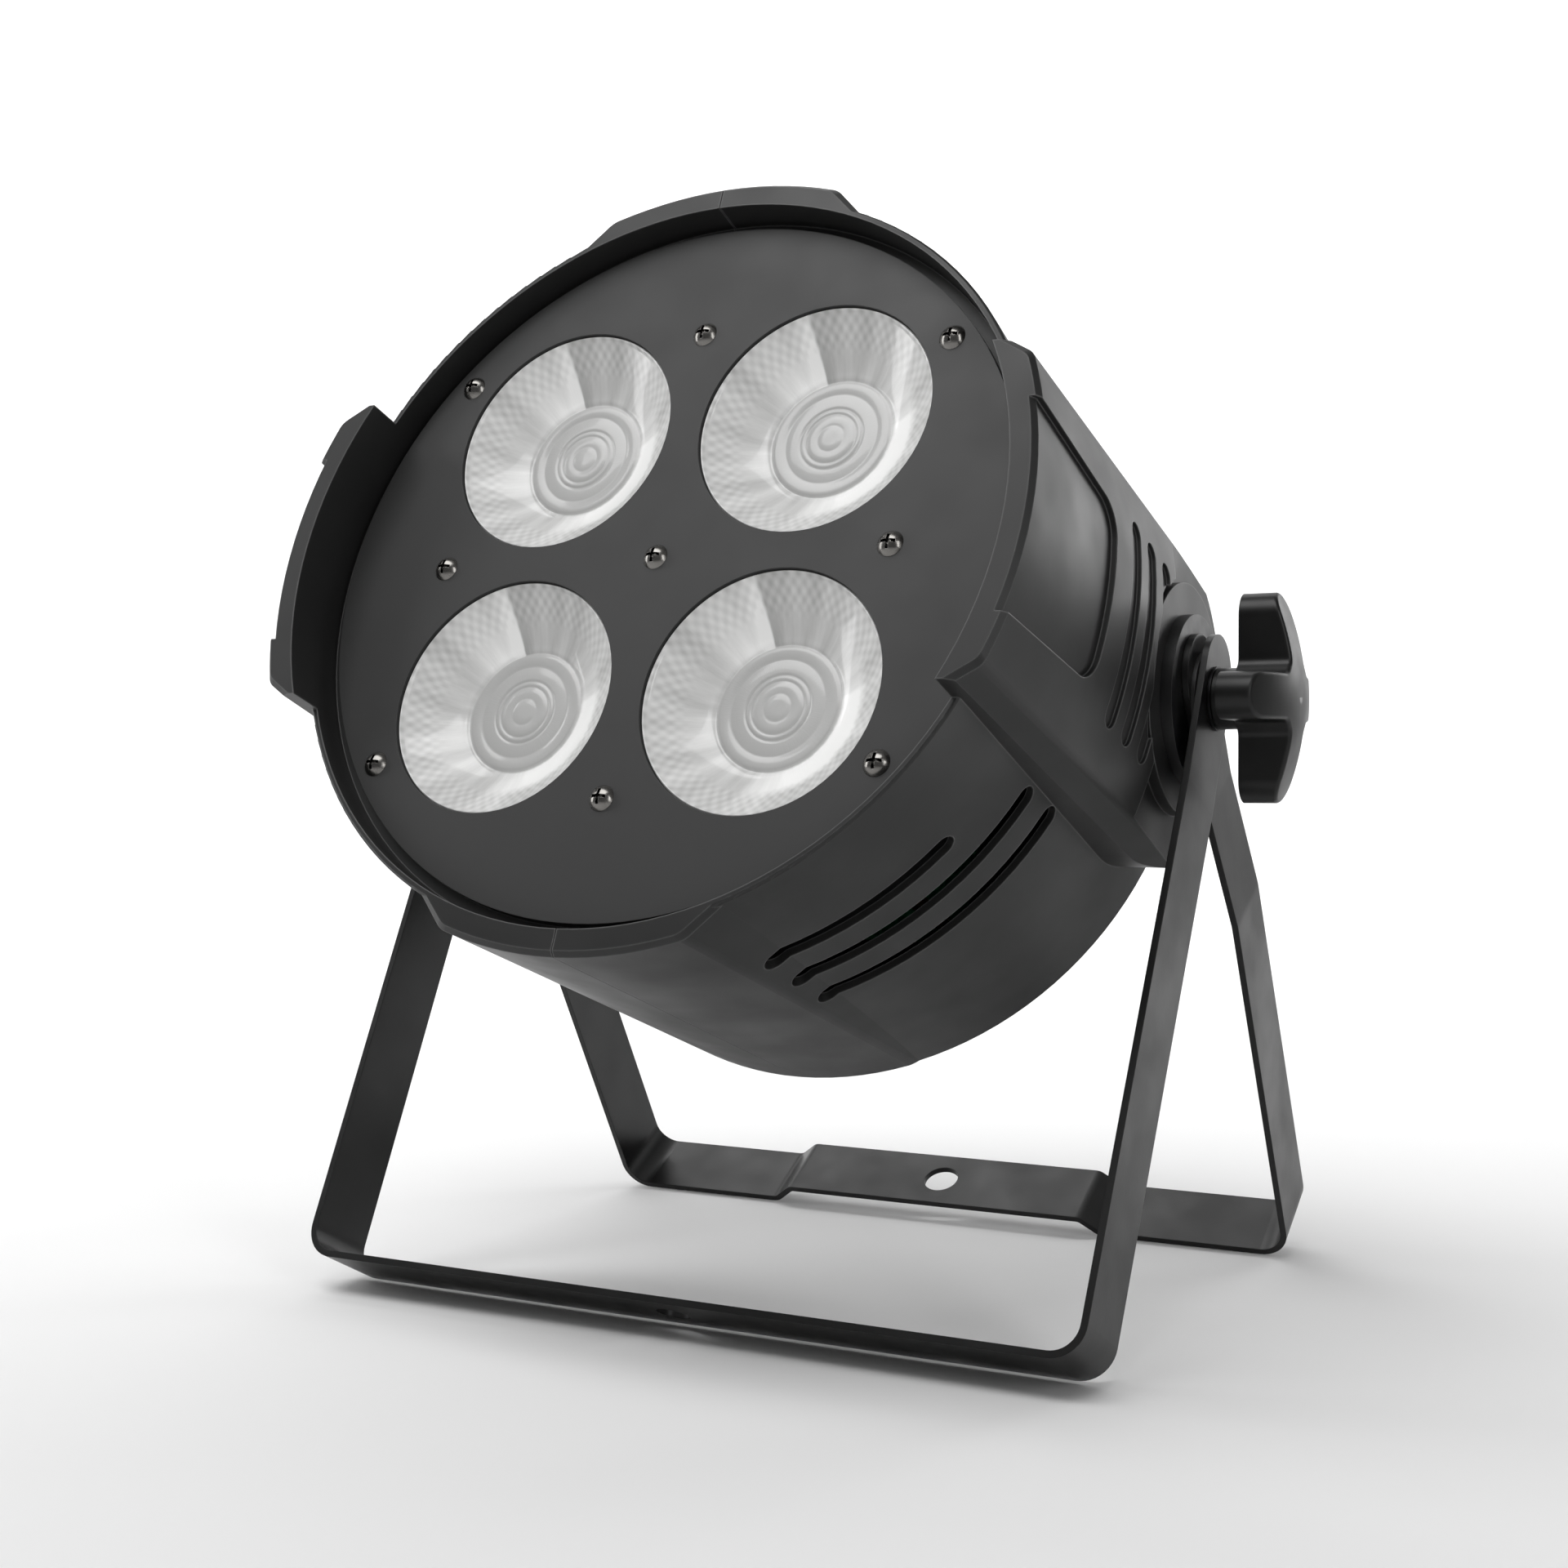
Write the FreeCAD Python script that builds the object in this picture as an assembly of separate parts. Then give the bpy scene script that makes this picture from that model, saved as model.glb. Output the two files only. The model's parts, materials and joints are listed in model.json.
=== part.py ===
import FreeCAD, Part
import math
import os
from FreeCAD import Placement, Rotation, Vector as V

# Par can light with four lenses, standing on two flat-bar yokes.
# Millimetres. +Z is up, the lenses face -Y, the pivot axis runs along X.
# The origin is on the floor, at the middle of the footprint.
# The head is drawn in lamp coordinates: x right, y up the front plate, z out of the lenses,
# with the face of the front plate at z = 0. seat_head() carries it to the standing pose.

# Standing pose
HEAD_TILT = 22.0            # lenses look up by this angle
FRONT_LEAN = 27.0           # front yoke leans forward of vertical

# Front plate and rim
RIM_BORE_R = 112.0          # well that the front plate drops into
RIM_WALL = 2.0
RIM_FRONT = 7.0             # rim edge stands this far in front of the plate
PLATE_GAP = 3.6             # dark gap all round the front plate
GAP_FLOOR = 3.5             # floor of that gap, behind the plate face
RIM_ROUND = 0.8
PLATE_THICK = 2.0
LENS_PITCH = 83.0           # between lens centres, across and up
LENS_WINDOW_R = 36.0
LEDGE_WIDTH = 13.7          # shelf inside the well that carries the plate
LEDGE_THICK = 5.0

# Drum
SHELL_WALL = 2.5
DRUM_TAPER = 2.0            # drum is this much smaller in radius at the rear
DRUM_REAR_Z = -140.0        # start of the rear bevel
BEVEL_DEPTH = 12.0
BEVEL_DROP = 8.0
REAR_LIP = 18.0             # lip left round the rear opening
REAR_WALL = 3.0
SEAM_GAP = 0.3              # between the two half shells

# Side ears
EAR_LIP_Z = 18.0
EAR_LIP_PROUD = 7.0         # proud of the rim at the front
EAR_DEEP_PROUD = 10.6       # proud of the rim at mid height, at the end of the front zone
EAR_DEEP_CROWN_R = 230.0    # crown of that face, flatter than the lip
EAR_HALF = 44.0             # half height at the outer face
EAR_BASE_HALF = 48.0
EAR_ROOT_DEPTH = 24.0       # ears start this far inside the rim's outside
EAR_ZONE_END = -86.0        # front zone stops here, pivot pocket starts
POCKET_PROUD = 4.5          # face of the pivot pocket, proud of the rim
EAR_EDGE = 1.5              # broken edges of all four ears
CORNER_FULLNESS = 0.41      # arc through a broken corner, as a share of the way to the tip

# Recess and flutes on the side ears
RECESS_HALF = 30.5
RECESS_END_HALF = 26.0
RECESS_END_Z = -36.0
RECESS_DEPTH = 1.8
RECESS_CORNER_R = 9.0
FLUTE_COUNT = 3
FLUTE_FIRST_Z = -52.0
FLUTE_PITCH = 12.5
FLUTE_WIDTH = 7.0
FLUTE_HALF = 31.0
FLUTE_DEPTH = 1.3

# Top and bottom ears
CREST_LIP_PROUD = 5.5
CREST_HALF = 38.5
CREST_BASE_HALF = 53.0
CREST_FLARE = 0.35          # root widens inside the drum
CREST_ROOT_DEPTH = 26.0
CREST_FADE_PROUD = 0.6      # proud of the drum where it dies into it

# Vents, in each quadrant between the ears: start angle, end angle, z
VENTS = [(40.0, 67.5, -33.0), (27.5, 67.5, -50.0), (27.0, 67.5, -67.0)]
VENT_WIDTH = 7.0
VENT_REACH = 14.0           # vent cutters start this far inside the drum

# Pivot stack on each side, from the head outwards
PIVOT_Z = -107.6
PIVOT_RISE = 2.0            # pivot above the middle of the plate
BOSS_R = 34.5
BOSS_PROUD = 3.5            # proud of the pivot pocket
BOSS_GAP = 1.6              # groove round the boss where it sinks into the front zone
PAD_R = 25.0
PAD_THICK = 3.5
BOLT_R = 3.95               # M8 thread drawn plain
BOLT_CLEARANCE = 0.35
BOLT_HEAD_AF = 13.0
BOLT_HEAD_THICK = 5.3
FACE_GAP = 0.1              # between flat faces that turn on each other
SPACER_R = 14.0
SPACER_THICK = 1.2
WASHER_R = 9.5
WASHER_THICK = 1.0

# Yokes
STRIP_WIDTH = 25.4
STRIP_THICK = 2.0
ARM_FLAT = 32.0             # arm stays flat this far below the pivot
ARM_TOP = 7.3               # round end's centre above the pivot
BEND_R = 8.0
SOFT_BEND_R = 25.0
FRONT_LENGTH = 198.0        # pivot to the outside of the bar
FRONT_PINCH = 4.1           # arms come in this much from the pivot to the bar
FRONT_HOLE_R = 5.25
REAR_EXTRA = 5.0            # rear yoke is longer than the front one
REAR_FOOT_SPREAD = 2.0      # arms go out this much from the pivot to the bar
REAR_WAIST_SPREAD = 3.0     # and this much just below their flat part
REAR_WAIST_DOWN = 72.0
REAR_HOLE_R = 6.25
STEP_RISE = 5.5             # raised middle of the rear bar
STEP_HALF = 57.0
STEP_RUN = 7.0

# Clamp knobs
KNOB_LENGTH = 24.0
KNOB_SPAN = 61.0
KNOB_LOBE_WIDTH = 13.5
KNOB_LOBE_THICK = 10.0
KNOB_DOME = 6.5             # hub stands proud of the lobe tips
KNOB_NECK_R = 9.0
KNOB_HUB_R = 12.0
KNOB_EDGE = 1.2
KNOB_CROTCH = 3.5           # fillet between lobe and hub
KNOB_TURN = 22.0            # lobes stand upright in the standing pose
INSERT_WALL = 2.55
INSERT_LENGTH = 16.0
THREAD_CLEARANCE = 0.05

# Lenses, holders and light engines
LENS_LAND = 1.5             # flange overlaps the window's edge
LENS_FLANGE_THICK = 2.0
LENS_DISH_DEPTH = 15.0
LENS_DISC_R = 17.5
LENS_WALL = 3.0
LENS_DOME = 4.0
HOLDER_WALL = 1.5
COB_SIDE = 24.0
COB_THICK = 1.5
COB_EMITTER_R = 9.0

# Heat sink
COOLER_FACE_Z = -38.0
COOLER_INSET = 7.5          # heat sink's edge inside the shell
COOLER_THICK = 5.0
COOLER_SEAT = 4.0           # its edge rests this wide on the shell's ledge
COOLER_LEDGE_THICK = 3.0
FIN_COUNT = 18
FIN_THICK = 1.5
FIN_DEPTH = 35.0
FIN_INSET = 12.0            # fins end this far inside the heat sink's edge
FIN_MARGIN = 7.0            # outermost fins this far inside that

# Fan
FAN_SIDE = 80.0
FAN_DEPTH = 15.0
FAN_RIM = 2.5               # thinnest wall round the bore
FAN_HOLE_INSET = 4.25       # mounting holes from the sides
FAN_PILLAR_R = 4.5
FAN_SCREW_BITE = 8.0
ROTOR_GAP = 1.5
ROTOR_HUB_R = 16.0
ROTOR_DEPTH = 11.0
BLADE_COUNT = 7
BLADE_THICK = 1.4
BLADE_PITCH = 38.0
FAN_PIN_R = 1.5
FAN_PIN_CLEARANCE = 0.05
STRUT_COUNT = 4

# Screws
SCREW_R = 2.0
SCREW_CLEARANCE = 0.2
SCREW_HEAD_R = 3.85
SCREW_HEAD_RISE = 2.2
SCREW_LENGTH = 9.0
INNER_SCREW_RING = 72.8     # four screws on the plate's axes
OUTER_SCREW_INSET = 10.2    # four screws inside the well's edge
OUTER_SCREW_ANGLE = 38.0
SCREW_BOSS_WALL = 2.6
STANDOFF_AF = 7.0

# Rear cover and what it carries
COVER_LAP = 9.0             # cover overlaps the rear opening
COVER_GAP = 0.4             # between the cover and the pivot ears
COVER_THICK = 3.0
COVER_SCREWS = 6
COVER_SCREW_LAP = 4.0
GRILLE_SLOTS = 7
GRILLE_PITCH = 6.0
GRILLE_SLOT = 3.0
GRILLE_R = 22.0
DISPLAY_W = 56.0
DISPLAY_H = 18.0
DISPLAY_Y = 60.0
WINDOW_INSET = 0.3
WINDOW_THICK = 1.5
BUTTON_NAMES = ("menu", "down", "up", "enter")
BUTTON_PITCH = 15.0
BUTTON_Y = 40.0
BUTTON_R = 4.0
BUTTON_CLEARANCE = 0.3
BUTTON_RISE = 2.0
BUTTON_TRAVEL = 0.8
BUTTON_FLANGE_R = 5.0
BUTTON_STEM = 3.0           # switch face at rest, in from the cover
BOARD_THICK = 1.6
CONTROL_BOARD = (88.0, 46.0)
CONTROL_POST_X = 38.0
CONTROL_POST_R = 3.0
CONTROL_POST_INSET = 5.0
CONTROL_BOARD_Y = 51.0
CONTROL_BOARD_RISE = 8.0    # board stands this far in from the cover
XLR_X = 52.0
XLR_Y = 4.0
XLR_FLANGE = (26.0, 31.0)
XLR_BORE_R = 9.5
XLR_WALL = 2.0
XLR_PIN_R = 1.2
XLR_PIN_RING = 4.8
XLR_DEEP = 22.0
XLR_SCREW = (9.5, 12.0)     # two screws, at opposite corners
FLANGE_THICK = 2.0
IEC_X = 32.0
IEC_Y = -48.0
IEC_FLANGE = (48.0, 24.0)
IEC_BODY = (28.0, 20.0)
IEC_WALL = 1.8
IEC_DEEP = 22.0
IEC_SCREW_X = 20.0
IEC_WELL_DEEP = 16.0
POLE_RECESS = 7.0           # pins and blades start this deep in their wells
FUSE_Y = -70.0
FUSE_R = 6.5
FUSE_BODY_R = 5.3
FUSE_RISE = 3.0
FUSE_DEEP = 18.0
FUSE_SLOT = (7.0, 1.2)
PANEL_FIT = 0.4             # openings in the cover are this much wider than what sits in them
EYE_Y = 79.0
EYE_ROD_R = 2.5
EYE_LOOP_R = 9.0
EYE_BASE = (34.0, 12.0)
EYE_SCREW_X = 12.0

# Driver board
DRIVER_BOARD = (132.0, 52.0)
DRIVER_Y = -52.0
DRIVER_DROP = 8.0           # board's face behind the fan
POST_INSET = (6.0, 5.0)     # posts from the board's edges
POST_R = 2.6
POST_GAP = 0.3              # fins stay this far clear of the posts

SLIP = 0.02                 # a part that is pressed home in its own assembly

# Sizes that follow from the ones above
RIM_OUT_R = RIM_BORE_R + RIM_WALL
PLATE_R = RIM_BORE_R - PLATE_GAP
LEDGE_BORE_R = RIM_BORE_R - LEDGE_WIDTH
DRUM_REAR_R = RIM_OUT_R - DRUM_TAPER
REAR_OPENING_R = DRUM_REAR_R - BEVEL_DROP - REAR_LIP
REAR_Z = DRUM_REAR_Z - BEVEL_DEPTH
EAR_LIP_R = RIM_OUT_R + EAR_LIP_PROUD
EAR_DEEP_OUT = RIM_OUT_R + EAR_DEEP_PROUD
EAR_ROOT_X = RIM_OUT_R - EAR_ROOT_DEPTH
EAR_END_R = EAR_BASE_HALF
POCKET_OUT = RIM_OUT_R + POCKET_PROUD
BOSS_OUT = POCKET_OUT + BOSS_PROUD
CREST_LIP_R = RIM_OUT_R + CREST_LIP_PROUD
CREST_FADE_R = DRUM_REAR_R + CREST_FADE_PROUD
CREST_ROOT = RIM_OUT_R - CREST_ROOT_DEPTH
COVER_R = REAR_OPENING_R + COVER_LAP
COVER_SCREW_RING = REAR_OPENING_R + COVER_SCREW_LAP
LENS_FLANGE_R = LENS_WINDOW_R + LENS_LAND
COOLER_R = RIM_OUT_R - SHELL_WALL - COOLER_INSET
COOLER_LEDGE_BORE_R = COOLER_R - COOLER_SEAT
FIN_REACH_R = COOLER_R - FIN_INSET
FIN_PITCH = 2 * (FIN_REACH_R - FIN_MARGIN) / (FIN_COUNT - 1)
FAN_BORE_R = FAN_SIDE / 2 - FAN_RIM
FAN_HOLE_PITCH = FAN_SIDE - 2 * FAN_HOLE_INSET
ROTOR_R = FAN_BORE_R - ROTOR_GAP
SCREW_HOLE_R = SCREW_R + SCREW_CLEARANCE
SCREW_BOSS_R = SCREW_R + SCREW_BOSS_WALL
BOLT_HOLE_R = BOLT_R + BOLT_CLEARANCE
INSERT_R = BOLT_R + INSERT_WALL
XLR_BARREL_R = XLR_BORE_R + XLR_WALL
IEC_WELL = (IEC_BODY[0] - 2 * IEC_WALL, IEC_BODY[1] - 2 * IEC_WALL)
COOLER_BACK_Z = COOLER_FACE_Z - COOLER_THICK
FIN_END_Z = COOLER_BACK_Z - FIN_DEPTH
FAN_FRONT_Z = FIN_END_Z
FAN_BACK_Z = FAN_FRONT_Z - FAN_DEPTH
DRIVER_FACE_Z = FAN_BACK_Z - DRIVER_DROP
POST_X = DRIVER_BOARD[0] / 2 - POST_INSET[0]
COVER_OUT_Z = REAR_Z - COVER_THICK
CONTROL_BOARD_Z = REAR_Z + CONTROL_BOARD_RISE
BUTTON_STEM_END = REAR_Z + BUTTON_STEM + BUTTON_TRAVEL
LENS_CENTRES = [(sx * LENS_PITCH / 2, sy * LENS_PITCH / 2) for sy in (1, -1) for sx in (-1, 1)]
PLATE_SCREWS = [(0, 0)]
PLATE_SCREWS += [(0, INNER_SCREW_RING), (0, -INNER_SCREW_RING)]
PLATE_SCREWS += [(INNER_SCREW_RING, 0), (-INNER_SCREW_RING, 0)]
OUTER_SCREW_X = (RIM_BORE_R - OUTER_SCREW_INSET) * math.cos(math.radians(OUTER_SCREW_ANGLE))
OUTER_SCREW_Y = (RIM_BORE_R - OUTER_SCREW_INSET) * math.sin(math.radians(OUTER_SCREW_ANGLE))
CORNER_SCREWS = [(sx * OUTER_SCREW_X, sy * OUTER_SCREW_Y) for sx in (1, -1) for sy in (1, -1)]
REAR_ARM_X = BOSS_OUT + PAD_THICK + FACE_GAP
SPACER_X = REAR_ARM_X + STRIP_THICK
FRONT_ARM_X = SPACER_X + SPACER_THICK + FACE_GAP
WASHER_X = FRONT_ARM_X + STRIP_THICK
KNOB_X = WASHER_X + WASHER_THICK + FACE_GAP
BOLT_END = KNOB_X + INSERT_LENGTH
FRONT_FOOT = FRONT_ARM_X - FRONT_PINCH
REAR_FOOT = REAR_ARM_X + REAR_FOOT_SPREAD
REAR_WAIST = REAR_ARM_X + REAR_WAIST_SPREAD
REAR_LENGTH = FRONT_LENGTH + REAR_EXTRA
PIVOT_HEIGHT = FRONT_LENGTH * math.cos(math.radians(FRONT_LEAN))
PIVOT_HEIGHT += STRIP_WIDTH / 2 * math.sin(math.radians(FRONT_LEAN))
# Both bars rest on the floor, so the rear lean follows from its length.
REAR_LEAN = math.degrees(math.atan2(STRIP_WIDTH / 2, REAR_LENGTH)
                         + math.acos(PIVOT_HEIGHT / math.hypot(REAR_LENGTH, STRIP_WIDTH / 2)))

X_AXIS = V(1, 0, 0)
Y_AXIS = V(0, 1, 0)
Z_AXIS = V(0, 0, 1)


# Small shape helpers

def rod(radius, low, high, x=0.0, y=0.0):
    return Part.makeCylinder(radius, high - low, V(x, y, low))


def ring(outer, inner, low, high, x=0.0, y=0.0):
    return rod(outer, low, high, x, y).cut(rod(inner, low - 1, high + 1, x, y))


def side_rod(radius, start, end, y=PIVOT_RISE, z=PIVOT_Z):
    return Part.makeCylinder(radius, end - start, V(start, y, z), X_AXIS)


def block(width, height, low, high, x=0.0, y=0.0):
    return Part.makeBox(width, height, high - low, V(x - width / 2, y - height / 2, low))


def hexagon(across_flats, low, high, x=0.0, y=0.0):
    corner = across_flats / math.sqrt(3)
    points = [V(x + corner * math.cos(math.radians(60 * i)), y + corner * math.sin(math.radians(60 * i)), low)
              for i in range(7)]
    return Part.Face(Part.makePolygon(points)).extrude(V(0, 0, high - low))


def spun(outline):
    """Solid of revolution about Z from (radius, z) corners."""
    points = [V(r, 0, z) for r, z in outline + outline[:1]]
    return Part.Face(Part.makePolygon(points)).revolve(V(0, 0, 0), Z_AXIS, 360)


def join(shapes):
    return shapes[0].multiFuse(shapes[1:]).removeSplitter() if len(shapes) > 1 else shapes[0]


def mirrored(shape):
    return shape.mirror(V(0, 0, 0), X_AXIS)


def round_edges(shape, radius, wanted):
    edges = [edge for edge in shape.Edges if wanted(edge)]
    return shape.makeFillet(radius, edges)


def group(shapes):
    return Part.makeCompound(shapes)


# Housing

def drum_radius(z):
    share = (RIM_FRONT - z) / (RIM_FRONT - DRUM_REAR_Z)
    return RIM_OUT_R + (DRUM_REAR_R - RIM_OUT_R) * share


def crowned_section(z, root, outer, crown_r, half, root_half):
    """Closed outline across an ear that points along +X: straight flanks, rounded corners, crowned top."""
    middle = outer - crown_r
    swing = math.asin(half / crown_r)
    corner_x = middle + crown_r * math.cos(swing)
    kept = swing - EAR_EDGE / crown_r

    def corner(side):
        tip = V(corner_x, side * half, z)
        along = (V(root, side * root_half, z) - tip).normalize()
        on_flank = tip + along * EAR_EDGE
        on_crown = V(middle + crown_r * math.cos(kept), side * crown_r * math.sin(kept), z)
        chord = (on_flank + on_crown) * 0.5
        return on_flank, chord + (tip - chord) * CORNER_FULLNESS, on_crown

    low, high = corner(-1), corner(1)
    root_low, root_high = V(root, -root_half, z), V(root, root_half, z)
    return Part.Wire([
        Part.LineSegment(root_low, low[0]).toShape(),
        Part.Arc(*low).toShape(),
        Part.Arc(low[2], V(outer, 0, z), high[2]).toShape(),
        Part.Arc(*reversed(high)).toShape(),
        Part.LineSegment(high[0], root_high).toShape(),
        Part.LineSegment(root_high, root_low).toShape()])


def flank_half(half, outer, base_half, base_at, root):
    """Half width of the root, so that the flank passes through the stated base."""
    return base_half + (base_at - root) * (base_half - half) / (outer - base_at)


def side_ear(inset):
    """Block of the right ear; inset is the wall taken off for its hollow."""
    half = EAR_HALF - inset
    root_half = flank_half(EAR_HALF, EAR_LIP_R, EAR_BASE_HALF, RIM_BORE_R, EAR_ROOT_X) - inset
    reach = PIVOT_Z - EAR_END_R - 5
    grow = (EAR_DEEP_OUT - EAR_LIP_R) / (EAR_LIP_Z - EAR_ZONE_END)
    lip_r = EAR_LIP_R - inset
    break_z = EAR_LIP_Z - EAR_EDGE
    tail_r = lip_r + grow * (EAR_LIP_Z - reach)
    lip = crowned_section(EAR_LIP_Z, EAR_ROOT_X, lip_r - EAR_EDGE, lip_r,
                          half - EAR_EDGE, root_half - EAR_EDGE)
    full = crowned_section(break_z, EAR_ROOT_X, lip_r, lip_r, half, root_half)
    tail = crowned_section(reach, EAR_ROOT_X, tail_r, EAR_DEEP_CROWN_R, half, root_half)
    body = Part.makeLoft([lip, full, tail], True, True)
    length = EAR_LIP_Z - PIVOT_Z
    outline = Part.makeBox(200, 2 * EAR_BASE_HALF - 2 * inset, length - inset,
                           V(0, -EAR_BASE_HALF + inset, PIVOT_Z))
    outline = outline.fuse(side_rod(EAR_END_R - inset, 0, 200, y=0))
    return body.common(outline)


def ear_recess():
    """Shallow panel sunk in the ear's face, open at the lip and narrowing to the rear."""
    points = [V(0, -RECESS_HALF, EAR_LIP_Z + 5), V(0, -RECESS_END_HALF, RECESS_END_Z),
              V(0, RECESS_END_HALF, RECESS_END_Z), V(0, RECESS_HALF, EAR_LIP_Z + 5)]
    prism = Part.Face(Part.makePolygon(points + points[:1])).extrude(V(200, 0, 0))
    corners = [e for e in prism.Edges
               if abs(e.CenterOfMass.z - RECESS_END_Z) < 0.1 and abs(e.CenterOfMass.x - 100) < 0.1]
    return prism.makeFillet(RECESS_CORNER_R, corners)


def ear_flute(z):
    """Upright slot shape with round ends, cut shallow into the ear's face."""
    straight = FLUTE_HALF - FLUTE_WIDTH / 2
    body = Part.makeBox(200, 2 * straight, FLUTE_WIDTH, V(0, -straight, z - FLUTE_WIDTH / 2))
    ends = [side_rod(FLUTE_WIDTH / 2, 0, 200, y=s * straight, z=z) for s in (1, -1)]
    return join([body] + ends)


def dressed_ear():
    """Right ear with its recess, flutes and pivot pocket."""
    whole = side_ear(0)
    skin = whole.common(ear_recess())
    ear = whole.cut(skin.cut(skin.translated(V(-RECESS_DEPTH, 0, 0))))
    for i in range(FLUTE_COUNT):
        slot = whole.common(ear_flute(FLUTE_FIRST_Z - i * FLUTE_PITCH))
        ear = ear.cut(slot.cut(slot.translated(V(-FLUTE_DEPTH, 0, 0))))
    pocket = Part.makeBox(60, 200, 200, V(POCKET_OUT, -100, EAR_ZONE_END - 200))
    around_boss = side_rod(BOSS_R + BOSS_GAP, POCKET_OUT, POCKET_OUT + 60)
    ear = ear.cut(pocket.fuse(around_boss)).cut(rod(COVER_R + COVER_GAP, REAR_Z - 20, REAR_Z))
    return ear.fuse(side_rod(BOSS_R, POCKET_OUT - SHELL_WALL, BOSS_OUT))


def ear_hollow():
    """Space inside the right ear, in front of and around the pivot."""
    hollow = side_ear(SHELL_WALL + RECESS_DEPTH)
    hollow = hollow.cut(rod(200, -LEDGE_THICK - SHELL_WALL, EAR_LIP_Z + 50))
    boss_front = PIVOT_Z + BOSS_R + BOSS_GAP + SHELL_WALL
    behind = Part.makeBox(60, 200, 200, V(POCKET_OUT - SHELL_WALL, -100, boss_front - 200))
    return hollow.cut(behind)


def crest(inset):
    """Block of the top ear, fading into the drum at the rear bevel."""
    half = CREST_HALF - inset
    root_half = CREST_BASE_HALF + (drum_radius(0) - CREST_ROOT) * CREST_FLARE - inset
    lip_r, tail_r = CREST_LIP_R - inset, CREST_FADE_R - inset
    lip = crowned_section(RIM_FRONT, CREST_ROOT, lip_r - EAR_EDGE, lip_r,
                          half - EAR_EDGE, root_half - EAR_EDGE)
    full = crowned_section(RIM_FRONT - EAR_EDGE, CREST_ROOT, lip_r, lip_r, half, root_half)
    tail = crowned_section(DRUM_REAR_Z, CREST_ROOT, tail_r, tail_r, half, root_half)
    body = Part.makeLoft([lip, full, tail], True, True)
    body.rotate(V(0, 0, 0), Z_AXIS, 90)
    return body


def vent_cutters():
    start_r = DRUM_REAR_R - VENT_REACH
    cutters = []
    for start, end, z in VENTS:
        for quadrant in range(4):
            sweep = end - start
            sector = Part.makeCylinder(RIM_OUT_R + 36, VENT_WIDTH, V(0, 0, z - VENT_WIDTH / 2), Z_AXIS, sweep)
            sector = sector.cut(rod(start_r, z - VENT_WIDTH, z + VENT_WIDTH))
            sector.rotate(V(0, 0, 0), Z_AXIS, start)
            pieces = [sector]
            for angle in (start, end):
                along = V(math.cos(math.radians(angle)), math.sin(math.radians(angle)), 0)
                pieces.append(Part.makeCylinder(VENT_WIDTH / 2, 50, V(0, 0, z) + along * start_r, along))
            slot = join(pieces)
            if quadrant in (1, 3):
                slot = slot.mirror(V(0, 0, 0), X_AXIS)
            if quadrant in (2, 3):
                slot = slot.mirror(V(0, 0, 0), Y_AXIS)
            cutters.append(slot)
    return cutters


def housing():
    body = spun([(0, RIM_FRONT), (RIM_OUT_R, RIM_FRONT), (DRUM_REAR_R, DRUM_REAR_Z),
                 (DRUM_REAR_R - BEVEL_DROP, REAR_Z), (0, REAR_Z)])
    rim_edges = [e for e in body.Edges if e.BoundBox.ZMin > RIM_FRONT - 0.1 and e.Length > 10]
    body = body.makeFillet(RIM_ROUND, rim_edges)
    right = dressed_ear()
    top = crest(0)
    bottom = top.mirror(V(0, 0, 0), Y_AXIS)
    body = body.multiFuse([right, mirrored(right), top, bottom])
    inner = [(0, -LEDGE_THICK), (drum_radius(0) - SHELL_WALL, -LEDGE_THICK),
             (DRUM_REAR_R - SHELL_WALL, DRUM_REAR_Z),
             (DRUM_REAR_R - BEVEL_DROP - SHELL_WALL, REAR_Z + REAR_WALL), (0, REAR_Z + REAR_WALL)]
    crest_hollow = crest(SHELL_WALL).cut(rod(200, -LEDGE_THICK - SHELL_WALL, 50))
    crest_hollow = crest_hollow.cut(rod(200, -300, DRUM_REAR_Z + SHELL_WALL))
    hollows = [spun(inner), ear_hollow(), mirrored(ear_hollow()), crest_hollow,
               crest_hollow.mirror(V(0, 0, 0), Y_AXIS)]
    body = body.cut(join(hollows))
    ledge = ring(drum_radius(COOLER_BACK_Z) - SHELL_WALL / 2, COOLER_LEDGE_BORE_R,
                 COOLER_BACK_Z - COOLER_LEDGE_THICK, COOLER_BACK_Z)
    for s in (1, -1):
        gap = Part.makeBox(60, 60, 20, V(-30, s * (COOLER_R + 8) - 30, COOLER_BACK_Z - 10))
        ledge = ledge.cut(gap)
    bosses = [rod(SCREW_BOSS_R, -LEDGE_THICK - SCREW_LENGTH, -PLATE_THICK, x, y) for x, y in CORNER_SCREWS]
    pivot_bosses = [side_rod(BOSS_R - SHELL_WALL, POCKET_OUT - 2 * SHELL_WALL, POCKET_OUT)]
    pivot_bosses.append(mirrored(pivot_bosses[0]))
    body = body.multiFuse([ledge] + bosses + pivot_bosses)
    cutters = [rod(RIM_BORE_R, -PLATE_THICK, EAR_LIP_Z + 10),
               ring(RIM_BORE_R, PLATE_R, -GAP_FLOOR, 0),
               rod(LEDGE_BORE_R, -LEDGE_THICK - 1, 0),
               rod(REAR_OPENING_R, REAR_Z - 1, REAR_Z + REAR_WALL + 1),
               side_rod(BOLT_HOLE_R, -200, 200)]
    cutters += [rod(SCREW_R, -LEDGE_THICK - SCREW_LENGTH - 1, 0, x, y) for x, y in CORNER_SCREWS]
    cutters += [rod(SCREW_R, REAR_Z - 1, REAR_Z + REAR_WALL + 1, x, y) for x, y in cover_screw_points()]
    return body.cut(join(cutters)).cut(join(vent_cutters()))


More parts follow.
